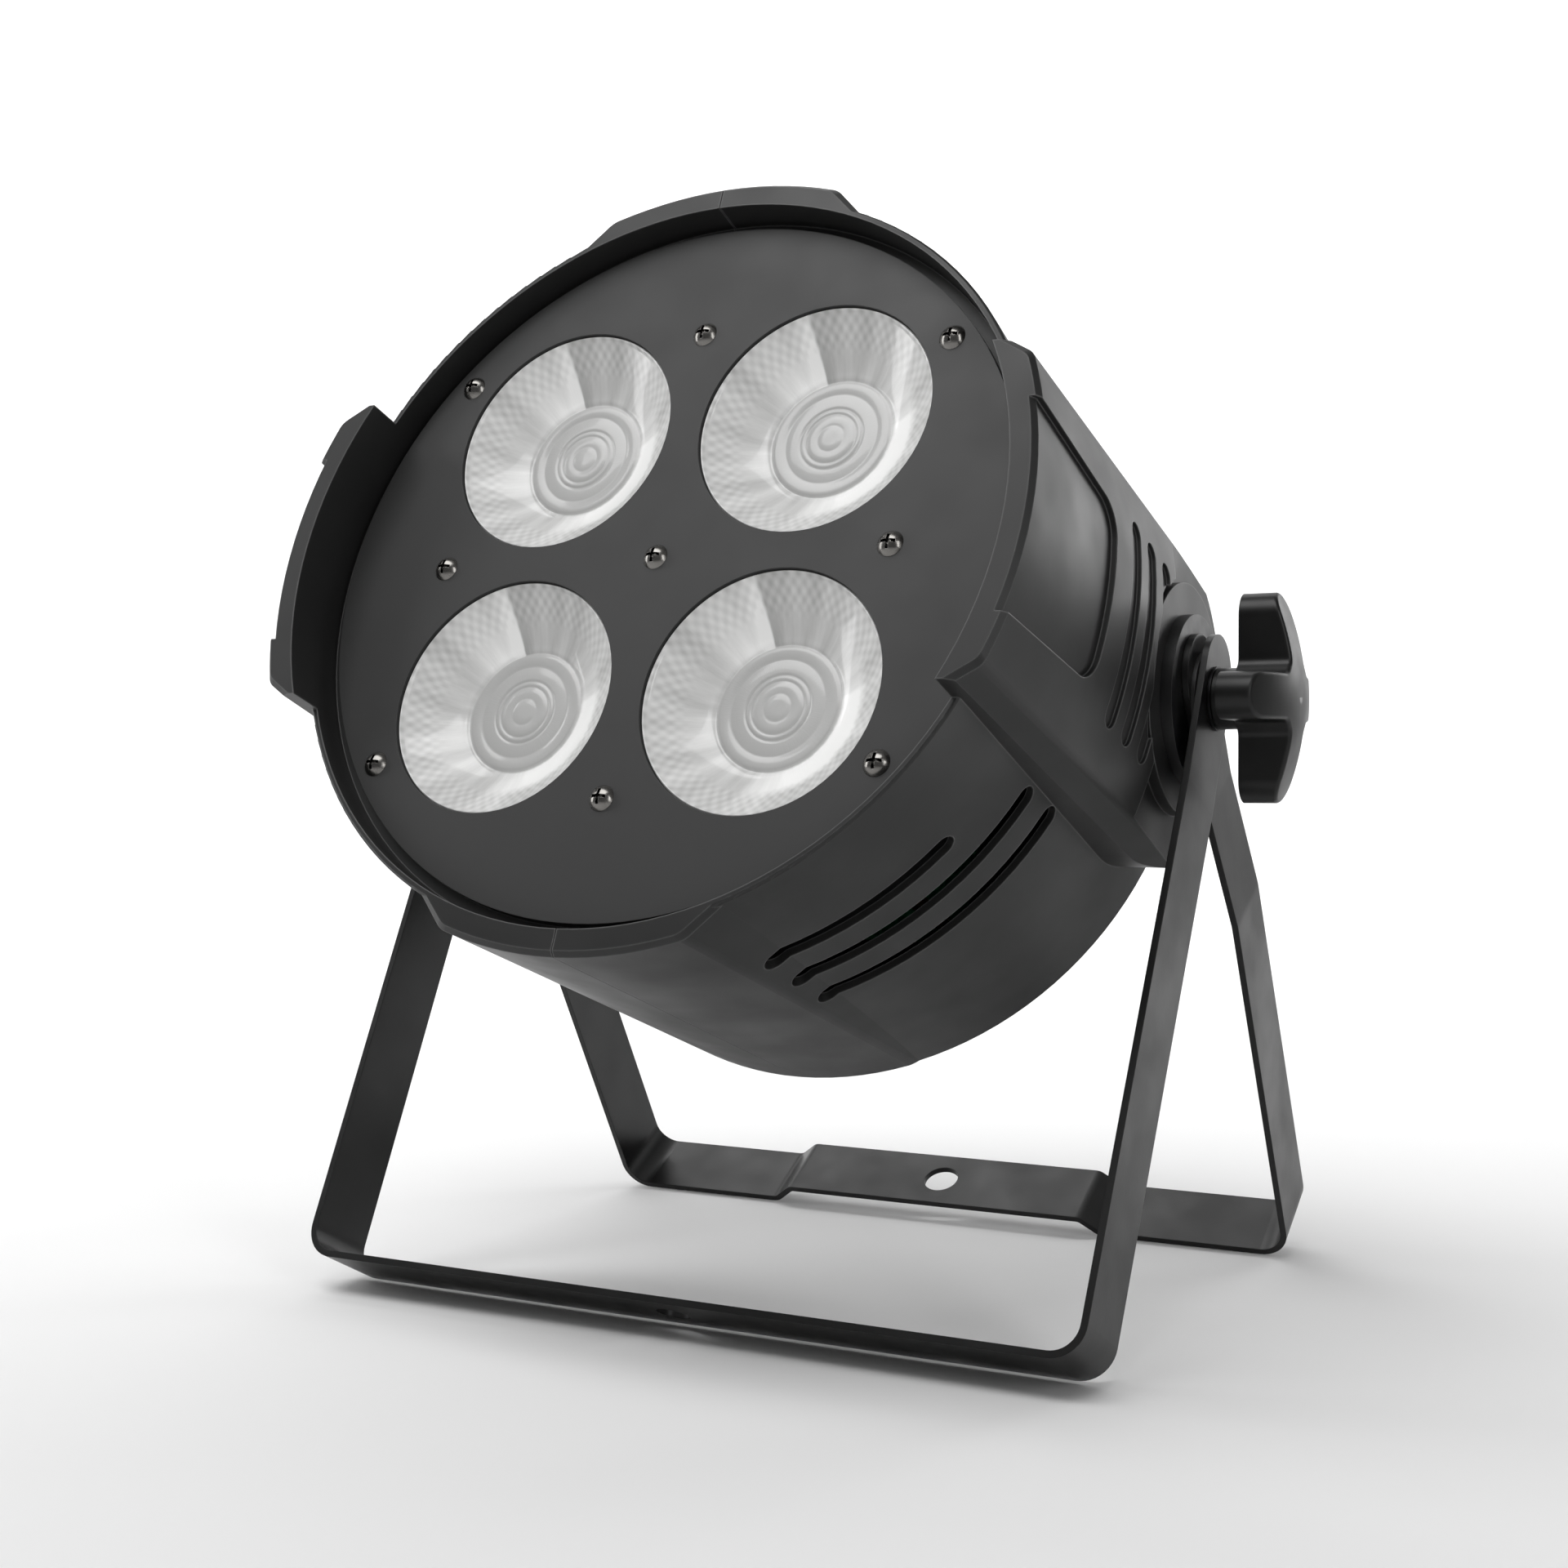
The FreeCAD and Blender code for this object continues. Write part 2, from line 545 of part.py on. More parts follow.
def housing_half(whole, side):
    keep = Part.makeBox(300, 600, 600, V(SEAM_GAP / 2 if side > 0 else -300 - SEAM_GAP / 2, -300, -300))
    return whole.common(keep)


# Front plate and screws

def front_plate():
    plate = rod(PLATE_R, -PLATE_THICK, 0)
    holes = [rod(LENS_WINDOW_R, -5, 5, x, y) for x, y in LENS_CENTRES]
    holes += [rod(SCREW_HOLE_R, -5, 5, x, y) for x, y in PLATE_SCREWS + CORNER_SCREWS]
    return plate.cut(join(holes))


def pan_screw(x, y, seat, length, out=1):
    """Pan head screw with a cross recess; out is +1 for a head that faces +z."""
    dome_r = (SCREW_HEAD_R ** 2 + SCREW_HEAD_RISE ** 2) / (2 * SCREW_HEAD_RISE)
    dome = Part.makeSphere(dome_r, V(0, 0, SCREW_HEAD_RISE - dome_r)).common(rod(SCREW_HEAD_R, 0, 10))
    cross = [block(w, h, SCREW_HEAD_RISE - 1.3, 10) for w, h in ((4.4, 0.9), (0.9, 4.4))]
    head = dome.cut(join(cross))
    screw = head.fuse(rod(SCREW_R - SLIP, -length, 0))
    if out < 0:
        screw.rotate(V(0, 0, 0), X_AXIS, 180)
    screw.translate(V(x, y, seat))
    return screw


# Light engines

def lens_solid(x, y):
    """Dished lens: flange, conical wall and a deep central disc with a domed back."""
    top = -PLATE_THICK
    floor = top - LENS_DISH_DEPTH
    rim = LENS_WINDOW_R - 1.0
    outline = [(0, floor), (LENS_DISC_R, floor), (LENS_DISC_R + 1.2, floor + 1.0), (rim, top - 0.8),
               (LENS_FLANGE_R, top - 0.8), (LENS_FLANGE_R, top - 0.8 - LENS_FLANGE_THICK),
               (rim + 0.6, top - 0.8 - LENS_FLANGE_THICK),
               (LENS_DISC_R + 0.5, floor - LENS_WALL), (0, floor - LENS_WALL)]
    body = spun(outline)
    dome_r = (LENS_DISC_R ** 2 + LENS_DOME ** 2) / (2 * LENS_DOME)
    dome = Part.makeSphere(dome_r, V(0, 0, floor - LENS_WALL - LENS_DOME + dome_r))
    dome = dome.common(rod(LENS_DISC_R, floor - LENS_WALL - LENS_DOME - 1, floor - 1))
    lens = body.fuse(dome)
    lens.translate(V(x, y, 0))
    return lens


def lens_holder(x, y):
    """Cup that carries the lens flange on the heat sink."""
    seat = -PLATE_THICK - 0.8 - LENS_FLANGE_THICK
    outer = LENS_FLANGE_R + HOLDER_WALL
    cup = ring(outer, LENS_FLANGE_R + 0.3, COOLER_FACE_Z, -PLATE_THICK - 0.2)
    lip = ring(outer, LENS_WINDOW_R + 0.2, seat - HOLDER_WALL, seat)
    base = ring(outer, COB_SIDE, COOLER_FACE_Z, COOLER_FACE_Z + HOLDER_WALL)
    cup = join([cup, lip, base])
    cup.translate(V(x, y, 0))
    return cup


def cob_led(x, y):
    base = block(COB_SIDE, COB_SIDE, COOLER_FACE_Z, COOLER_FACE_Z + COB_THICK, x, y)
    emitter = rod(COB_EMITTER_R, COOLER_FACE_Z + COB_THICK, COOLER_FACE_Z + COB_THICK + 0.6, x, y)
    return base.fuse(emitter)


def heat_sink():
    disc = rod(COOLER_R, COOLER_BACK_Z, COOLER_FACE_Z)
    fins = []
    for i in range(FIN_COUNT):
        x = (i - (FIN_COUNT - 1) / 2) * FIN_PITCH
        reach = math.sqrt(FIN_REACH_R ** 2 - x ** 2)
        fins.append(block(FIN_THICK, 2 * reach, FIN_END_Z, COOLER_BACK_Z, x))
    pillars = [rod(FAN_PILLAR_R, FIN_END_Z, COOLER_BACK_Z, x, y) for x, y in fan_corners()]
    holes = [rod(SCREW_R, COOLER_BACK_Z - 1, COOLER_FACE_Z + 1, x, y) for x, y in PLATE_SCREWS]
    holes += [rod(POST_R + POST_GAP, FIN_END_Z - 1, COOLER_BACK_Z, s * POST_X, y)
              for s in (1, -1) for y in post_rows()]
    holes += [rod(SCREW_R, FIN_END_Z - 1, FIN_END_Z + FAN_SCREW_BITE + 1, x, y) for x, y in fan_corners()]
    return join([disc] + fins + pillars).cut(join(holes))


def plate_standoff(x, y):
    body = hexagon(STANDOFF_AF, COOLER_FACE_Z, -PLATE_THICK, x, y)
    body = body.fuse(rod(SCREW_R - SLIP, COOLER_BACK_Z, COOLER_FACE_Z, x, y))
    return body.cut(rod(SCREW_R, -PLATE_THICK - SCREW_LENGTH - 1, 0, x, y))


# Fan

def fan_corners():
    half = FAN_HOLE_PITCH / 2
    return [(sx * half, sy * half) for sx in (1, -1) for sy in (1, -1)]


def fan_frame():
    frame = block(FAN_SIDE, FAN_SIDE, FAN_BACK_Z, FAN_FRONT_Z)
    frame = frame.cut(rod(FAN_BORE_R, FAN_BACK_Z - 1, FAN_FRONT_Z + 1))
    motor = rod(ROTOR_HUB_R - 2, FAN_BACK_Z, FAN_BACK_Z + 2)
    pin = rod(FAN_PIN_R, FAN_BACK_Z + 1, FAN_FRONT_Z - 2)
    struts = []
    for i in range(STRUT_COUNT):
        strut = Part.makeBox(FAN_BORE_R - ROTOR_HUB_R + 5, 3, 2, V(ROTOR_HUB_R - 4, -1.5, FAN_BACK_Z))
        strut.rotate(V(0, 0, 0), Z_AXIS, 45 + 360 / STRUT_COUNT * i)
        struts.append(strut)
    frame = join([frame, motor, pin] + struts)
    holes = [rod(SCREW_HOLE_R, FAN_BACK_Z - 1, FAN_FRONT_Z + 1, x, y) for x, y in fan_corners()]
    return frame.cut(join(holes))


def fan_rotor():
    low = FAN_BACK_Z + 3
    high = low + ROTOR_DEPTH
    hub = rod(ROTOR_HUB_R, low, high)
    blades = []
    for i in range(BLADE_COUNT):
        chord = ROTOR_DEPTH * 1.15
        blade = Part.makeBox(ROTOR_R + 5 - (ROTOR_HUB_R - 3), BLADE_THICK, chord,
                             V(ROTOR_HUB_R - 3, -BLADE_THICK / 2, -chord / 2))
        blade.rotate(V(0, 0, 0), X_AXIS, BLADE_PITCH)
        blade.translate(V(0, 0, (low + high) / 2))
        blade.rotate(V(0, 0, 0), Z_AXIS, 360 / BLADE_COUNT * i)
        blades.append(blade)
    rotor = join([hub] + blades).common(rod(ROTOR_R, low, high))
    return rotor.cut(rod(FAN_PIN_R + FAN_PIN_CLEARANCE, low - 1, FAN_FRONT_Z - 2 + FAN_PIN_CLEARANCE))


def fan_screws():
    return group([pan_screw(x, y, FAN_BACK_Z, FAN_DEPTH + FAN_SCREW_BITE, out=-1) for x, y in fan_corners()])


# Circuit boards

def driver_board():
    width, height = DRIVER_BOARD
    face = DRIVER_FACE_Z
    board = block(width, height, face - BOARD_THICK, face, 0, DRIVER_Y)
    back = face - BOARD_THICK
    parts = [block(34, 30, back - 24, back, -28, DRIVER_Y + 6),
             block(16, 30, back - 22, back, 42, DRIVER_Y - 2)]
    parts += [rod(6, back - 22, back, x, DRIVER_Y + 10) for x in (2, 18)]
    parts += [rod(4, back - 14, back, x, DRIVER_Y - 14) for x in (-4, 8, 20)]
    parts.append(block(20, 10, back - 12, back, -34, DRIVER_Y - 18))
    solid = join([board] + parts)
    holes = [rod(SCREW_R, back - 1, face + 1, sx * POST_X, y) for sx in (1, -1) for y in post_rows()]
    return solid.cut(join(holes))


def post_rows():
    height = DRIVER_BOARD[1]
    return (DRIVER_Y + height / 2 - POST_INSET[1], DRIVER_Y - height / 2 + POST_INSET[1])


def driver_posts():
    posts = []
    for sx in (1, -1):
        for y in post_rows():
            post = rod(POST_R, DRIVER_FACE_Z, COOLER_BACK_Z, sx * POST_X, y)
            tip = rod(SCREW_R - SLIP, DRIVER_FACE_Z - BOARD_THICK - 2, DRIVER_FACE_Z, sx * POST_X, y)
            posts.append(post.fuse(tip))
    return group(posts)


def control_board():
    width, height = CONTROL_BOARD
    low = CONTROL_BOARD_Z
    y = CONTROL_BOARD_Y
    board = block(width, height, low, low + BOARD_THICK, 0, y)
    chips = [block(12, 12, low + BOARD_THICK, low + BOARD_THICK + 2, -20, y),
             block(9, 16, low + BOARD_THICK, low + BOARD_THICK + 6, 30, y - 6)]
    switches = [block(6, 6, BUTTON_STEM_END + SLIP, low, x, BUTTON_Y) for x in button_xs()]
    return join([board] + chips + switches)


# Rear cover

def button_xs():
    count = len(BUTTON_NAMES)
    return [(i - (count - 1) / 2) * BUTTON_PITCH for i in range(count)]


def cover_screw_points():
    step = 360 / COVER_SCREWS
    return [(COVER_SCREW_RING * math.cos(math.radians(step * (i + 0.5))),
             COVER_SCREW_RING * math.sin(math.radians(step * (i + 0.5)))) for i in range(COVER_SCREWS)]


def rear_cover():
    out = COVER_OUT_Z
    cover = rod(COVER_R, out, REAR_Z)
    cover = round_edges(cover, 1.2, lambda e: e.BoundBox.ZMax < out + 0.1 and e.Length > 10)
    posts = [rod(CONTROL_POST_R, REAR_Z, CONTROL_BOARD_Z, sx * CONTROL_POST_X, y)
             for sx in (1, -1) for y in control_post_rows()]
    cuts = [block(DISPLAY_W + PANEL_FIT, DISPLAY_H + PANEL_FIT, out - 1, REAR_Z + 1, 0, DISPLAY_Y)]
    cuts += [rod(BUTTON_R + BUTTON_CLEARANCE, out - 1, REAR_Z + 1, x, BUTTON_Y) for x in button_xs()]
    cuts += [rod(XLR_BARREL_R + PANEL_FIT / 2, out - 1, REAR_Z + 1, s * XLR_X, XLR_Y) for s in (1, -1)]
    cuts += [block(IEC_BODY[0] + PANEL_FIT, IEC_BODY[1] + PANEL_FIT, out - 1, REAR_Z + 1, s * IEC_X, IEC_Y)
             for s in (1, -1)]
    cuts += [rod(FUSE_BODY_R + PANEL_FIT / 2, out - 1, REAR_Z + 1, 0, FUSE_Y)]
    cuts += [rod(SCREW_HOLE_R, out - 1, REAR_Z + 1, x, y) for x, y in cover_screw_points()]
    cuts += [rod(SCREW_R, out - 1, REAR_Z + 1, x, y) for x, y in panel_screw_points()]
    for i in range(GRILLE_SLOTS):
        y = (i - (GRILLE_SLOTS - 1) / 2) * GRILLE_PITCH
        reach = math.sqrt(GRILLE_R ** 2 - y ** 2)
        slot = block(2 * reach, GRILLE_SLOT, out - 1, REAR_Z + 1, 0, y)
        ends = [rod(GRILLE_SLOT / 2, out - 1, REAR_Z + 1, s * reach, y) for s in (1, -1)]
        cuts.append(join([slot] + ends))
    return join([cover] + posts).cut(join(cuts))


def control_post_rows():
    reach = CONTROL_BOARD[1] / 2 - CONTROL_POST_INSET
    return (CONTROL_BOARD_Y - reach, CONTROL_BOARD_Y + reach)


def panel_screw_points():
    """Screws of the sockets and of the safety eye."""
    points = []
    for s in (1, -1):
        points += [(s * XLR_X + d * XLR_SCREW[0], XLR_Y + d * XLR_SCREW[1]) for d in (1, -1)]
        points += [(s * IEC_X + d * IEC_SCREW_X, IEC_Y) for d in (1, -1)]
        points.append((s * EYE_SCREW_X, EYE_Y))
    return points


def display_window():
    face = COVER_OUT_Z + WINDOW_INSET
    return block(DISPLAY_W, DISPLAY_H, face, face + WINDOW_THICK, 0, DISPLAY_Y)


def display_module():
    behind = COVER_OUT_Z + WINDOW_INSET + WINDOW_THICK
    return block(DISPLAY_W - 1, DISPLAY_H - 1, behind, CONTROL_BOARD_Z, 0, DISPLAY_Y)


def button(x):
    cap = rod(BUTTON_R, COVER_OUT_Z - BUTTON_RISE, REAR_Z + 1, x, BUTTON_Y)
    cap = round_edges(cap, 0.8, lambda e: e.BoundBox.ZMax < COVER_OUT_Z - BUTTON_RISE + 0.1)
    flange = rod(BUTTON_FLANGE_R, REAR_Z + SLIP, REAR_Z + 1.2, x, BUTTON_Y)
    stem = rod(1.6, REAR_Z + 1, BUTTON_STEM_END - BUTTON_TRAVEL, x, BUTTON_Y)
    return join([cap, flange, stem])


def xlr_socket(x, pins):
    """Three-pole panel socket; pins stand in the well, or are holes in an insert."""
    out = COVER_OUT_Z - FLANGE_THICK
    flange = block(XLR_FLANGE[0], XLR_FLANGE[1], out, COVER_OUT_Z, x, XLR_Y)
    flange = round_edges(flange, 2.5, lambda e: e.BoundBox.ZLength > 1)
    barrel = rod(XLR_BARREL_R, COVER_OUT_Z, out + XLR_DEEP, x, XLR_Y)
    body = flange.fuse(barrel)
    poles = [(x + XLR_PIN_RING * math.cos(math.radians(a)), XLR_Y + XLR_PIN_RING * math.sin(math.radians(a)))
             for a in (35, 145, 270)]
    floor = out + XLR_DEEP - 4
    if pins:
        body = body.cut(rod(XLR_BORE_R, out - 1, floor, x, XLR_Y))
        body = join([body] + [rod(XLR_PIN_R, out + POLE_RECESS, floor + 1, px, py) for px, py in poles])
    else:
        groove = ring(XLR_BORE_R, XLR_BORE_R - 1.2, out - 1, floor, x, XLR_Y)
        holes = [rod(XLR_PIN_R + 0.15, out - 1, floor, px, py) for px, py in poles]
        body = body.cut(join([groove] + holes))
    screws = [rod(SCREW_R, out - 1, COVER_OUT_Z + 1, x + d * XLR_SCREW[0], XLR_Y + d * XLR_SCREW[1])
              for d in (1, -1)]
    return body.cut(join(screws))


def iec_socket(x, blades):
    """Mains panel socket with a flange; blades stand in the inlet, the outlet has slots."""
    out = COVER_OUT_Z - FLANGE_THICK
    flange = block(IEC_FLANGE[0], IEC_FLANGE[1], out, COVER_OUT_Z, x, IEC_Y)
    flange = round_edges(flange, 3.0, lambda e: e.BoundBox.ZLength > 1)
    body = flange.fuse(block(IEC_BODY[0], IEC_BODY[1], COVER_OUT_Z, out + IEC_DEEP, x, IEC_Y))
    spots = [(x - 7, IEC_Y - 2), (x, IEC_Y + 2), (x + 7, IEC_Y - 2)]
    if blades:
        body = body.cut(block(IEC_WELL[0], IEC_WELL[1], out - 1, out + IEC_WELL_DEEP, x, IEC_Y))
        floor = out + IEC_WELL_DEEP
        body = join([body] + [block(2, 4, out + POLE_RECESS, floor + 1, px, py) for px, py in spots])
    else:
        outer = block(IEC_WELL[0], IEC_WELL[1], out - 1, out + IEC_WELL_DEEP, x, IEC_Y)
        groove = outer.cut(block(IEC_WELL[0] - 4, IEC_WELL[1] - 4, out - 2, out + 30, x, IEC_Y))
        slots = [block(2.3, 4.5, out - 1, out + IEC_WELL_DEEP, px, py) for px, py in spots]
        body = body.cut(join([groove] + slots))
    screws = [rod(SCREW_R, out - 1, COVER_OUT_Z + 1, x + d * IEC_SCREW_X, IEC_Y) for d in (1, -1)]
    return body.cut(join(screws))


def fuse_holder():
    out = COVER_OUT_Z - FUSE_RISE
    cap = rod(FUSE_R, out, COVER_OUT_Z, 0, FUSE_Y)
    cap = cap.fuse(rod(FUSE_BODY_R, COVER_OUT_Z, REAR_Z + FUSE_DEEP, 0, FUSE_Y))
    return cap.cut(block(*FUSE_SLOT, out - 1, out + 1, 0, FUSE_Y))


def safety_eye():
    """Steel loop on a foot plate, for the safety wire."""
    out = COVER_OUT_Z
    foot = block(EYE_BASE[0], EYE_BASE[1], out - FLANGE_THICK, out, 0, EYE_Y)
    foot = round_edges(foot, 3.0, lambda e: e.BoundBox.ZLength > 1)
    loop = Part.makeTorus(EYE_LOOP_R, EYE_ROD_R, V(0, EYE_Y, out - FLANGE_THICK - EYE_LOOP_R + 0.5), Y_AXIS)
    loop = loop.cut(rod(60, out - 1, out + 60, 0, EYE_Y))
    eye = foot.fuse(loop)
    holes = [rod(SCREW_R, out - FLANGE_THICK - 1, out + 1, s * EYE_SCREW_X, EYE_Y) for s in (1, -1)]
    return eye.cut(join(holes))


def panel_screws():
    seats = []
    for x, y in panel_screw_points():
        seats.append(pan_screw(x, y, COVER_OUT_Z - FLANGE_THICK, COVER_THICK + FLANGE_THICK + 3, out=-1))
    return group(seats)


# Pivot hardware

def pivot_bolt():
    """Hexagon bolt from inside the ear, through the boss and both arms, into the knob."""
    seat = POCKET_OUT - 2 * SHELL_WALL
    head = hexagon(BOLT_HEAD_AF, -BOLT_HEAD_THICK, 0)
    bolt = head.fuse(rod(BOLT_R, 0, BOLT_END - seat))
    bolt.Placement = Placement(V(seat, PIVOT_RISE, PIVOT_Z), Rotation(Y_AXIS, 90))
    return bolt


def disc_on_bolt(radius, start, thick):
    return side_rod(radius, start, start + thick).cut(side_rod(BOLT_HOLE_R, start - 1, start + thick + 1))


# Yokes, drawn upright in x and z with the pivot at the origin

def rounded_path(points, radii):
    """Open path of lines and tangent arcs through (x, z) corners."""
    edges = []
    here = V(points[0][0], 0, points[0][1])
    for before, corner, after, radius in zip(points, points[1:], points[2:], radii):
        mid = V(corner[0], 0, corner[1])
        back = (V(before[0], 0, before[1]) - mid).normalize()
        ahead = (V(after[0], 0, after[1]) - mid).normalize()
        half = back.getAngle(ahead) / 2
        start = mid + back * (radius / math.tan(half))
        end = mid + ahead * (radius / math.tan(half))
        bisector = (back + ahead).normalize()
        crown = mid + bisector * (radius / math.sin(half) - radius)
        edges.append(Part.LineSegment(here, start).toShape())
        edges.append(Part.Arc(start, crown, end).toShape())
        here = end
    edges.append(Part.LineSegment(here, V(points[-1][0], 0, points[-1][1])).toShape())
    return edges


def offset_path(points, distance):
    """Corners moved to the left of the path by the distance, mitred."""
    moved = []
    for i, (x, z) in enumerate(points):
        directions = []
        if i > 0:
            directions.append(V(x - points[i - 1][0], 0, z - points[i - 1][1]).normalize())
        if i < len(points) - 1:
            directions.append(V(points[i + 1][0] - x, 0, points[i + 1][1] - z).normalize())
        normals = [V(-d.z, 0, d.x) for d in directions]
        total = V(0, 0, 0)
        for normal in normals:
            total += normal
        total.normalize()
        scale = distance / total.dot(normals[0])
        moved.append((x + total.x * scale, z + total.z * scale))
    return moved


def strip(inner, radii, length):
    """Bent flat bar. inner holds the corners of its inside face from left arm top to right arm top."""
    outer = offset_path(inner, -STRIP_THICK)
    outer_radii = []
    for before, corner, after, radius in zip(inner, inner[1:], inner[2:], radii):
        first = V(corner[0] - before[0], 0, corner[1] - before[1])
        second = V(after[0] - corner[0], 0, after[1] - corner[1])
        turns_in = first.x * second.z - first.z * second.x > 0
        outer_radii.append(radius + STRIP_THICK if turns_in else radius - STRIP_THICK)
    edges = rounded_path(inner, radii)
    caps = [Part.LineSegment(V(a[0], 0, a[1]), V(b[0], 0, b[1])).toShape()
            for a, b in ((inner[0], outer[0]), (inner[-1], outer[-1]))]
    wire = Part.Wire(Part.__sortEdges__(edges + rounded_path(outer, outer_radii) + caps))
    bar = Part.Face(wire).extrude(V(0, STRIP_WIDTH, 0))
    bar.translate(V(0, -STRIP_WIDTH / 2, 0))
    outline = Part.makeBox(600, STRIP_WIDTH, length + ARM_TOP + 10,
                           V(-300, -STRIP_WIDTH / 2, -length - 10))
    outline = outline.fuse(Part.makeCylinder(STRIP_WIDTH / 2, 600, V(-300, 0, ARM_TOP), X_AXIS))
    bolt_hole = Part.makeCylinder(BOLT_HOLE_R, 600, V(-300, 0, 0), X_AXIS)
    return bar.common(outline).cut(bolt_hole)


def mirrored_points(right_half):
    """Full path, left arm top to right arm top, from the right half given from the middle outwards."""
    left = [(-x, z) for x, z in reversed(right_half)]
    return left + right_half


def front_yoke():
    top = ARM_TOP + STRIP_WIDTH / 2 + 5
    bar = -(FRONT_LENGTH - STRIP_THICK)
    path = mirrored_points([(FRONT_FOOT, bar), (FRONT_ARM_X, -ARM_FLAT), (FRONT_ARM_X, top)])
    body = strip(path, [SOFT_BEND_R, BEND_R, BEND_R, SOFT_BEND_R], FRONT_LENGTH)
    return body.cut(rod(FRONT_HOLE_R, bar - 10, bar + 10))


def rear_yoke():
    top = ARM_TOP + STRIP_WIDTH / 2 + 5
    bar = -(REAR_LENGTH - STRIP_THICK)
    path = mirrored_points([(STEP_HALF, bar + STEP_RISE), (STEP_HALF + STEP_RUN, bar), (REAR_FOOT, bar),
                            (REAR_WAIST, -REAR_WAIST_DOWN), (REAR_ARM_X, -ARM_FLAT), (REAR_ARM_X, top)])
    arm_bends = [SOFT_BEND_R, SOFT_BEND_R, BEND_R]
    step_bends = [STRIP_THICK + 2, STRIP_THICK + 2]
    body = strip(path, arm_bends + step_bends + step_bends[::-1] + arm_bends[::-1], REAR_LENGTH)
    return body.cut(rod(REAR_HOLE_R, bar - 10, bar + STEP_RISE + 10))


# Clamp knobs, drawn along +z from the washer face and then turned to the side

def knob_solid():
    lobe_low = KNOB_LENGTH - KNOB_DOME - KNOB_LOBE_THICK
    straight = KNOB_SPAN - KNOB_LOBE_WIDTH
    arms = [block(KNOB_LOBE_WIDTH, straight, lobe_low, KNOB_LENGTH),
            block(straight, KNOB_LOBE_WIDTH, lobe_low, KNOB_LENGTH)]
    arms += [rod(KNOB_LOBE_WIDTH / 2, lobe_low, KNOB_LENGTH, sx * straight / 2, sy * straight / 2)
             for sx, sy in ((1, 0), (-1, 0), (0, 1), (0, -1))]
    star = join(arms + [rod(KNOB_HUB_R, lobe_low, KNOB_LENGTH)])
    inner_corners = [e for e in star.Edges if e.BoundBox.ZLength > KNOB_LENGTH - lobe_low - 0.1
                     and abs(math.hypot(e.CenterOfMass.x, e.CenterOfMass.y) - KNOB_HUB_R) < 0.2]
    star = star.makeFillet(KNOB_CROTCH, inner_corners)
    span_r = KNOB_SPAN / 2
    dome_r = (span_r ** 2 + KNOB_DOME ** 2) / (2 * KNOB_DOME)
    dome = Part.makeSphere(dome_r, V(0, 0, KNOB_LENGTH - dome_r))
    star = star.common(dome)
    top_edges = [e for e in star.Edges if e.BoundBox.ZMin > KNOB_LENGTH - KNOB_DOME - 1]
    star = star.makeFillet(KNOB_EDGE, top_edges)
    neck = rod(KNOB_NECK_R, 0, lobe_low + 1)
    body = star.fuse(neck)
    return body.cut(rod(INSERT_R + SLIP, -1, INSERT_LENGTH + SLIP))


def knob_insert():
    bush = rod(INSERT_R, 0, INSERT_LENGTH)
    return bush.cut(rod(BOLT_R + THREAD_CLEARANCE, -1, INSERT_LENGTH + 1))


def on_side(shape):
    turned = shape.copy()
    turned.rotate(V(0, 0, 0), Z_AXIS, KNOB_TURN)
    turned.rotate(V(0, 0, 0), Y_AXIS, 90)
    turned.translate(V(KNOB_X, PIVOT_RISE, PIVOT_Z))
    return turned


# Assembly

def seat_head(shape):
    """Lamp coordinates to the standing pose, with the pivot axis over y = 0."""
    turned = shape.copy()
    turned.translate(V(0, -PIVOT_RISE, -PIVOT_Z))
    turned.rotate(V(0, 0, 0), X_AXIS, 90 - HEAD_TILT)
    turned.translate(V(0, 0, PIVOT_HEIGHT))
    return turned


def seat_yoke(shape, lean):
    turned = shape.copy()
    turned.rotate(V(0, 0, 0), X_AXIS, -lean)
    turned.translate(V(0, 0, PIVOT_HEIGHT))
    return turned


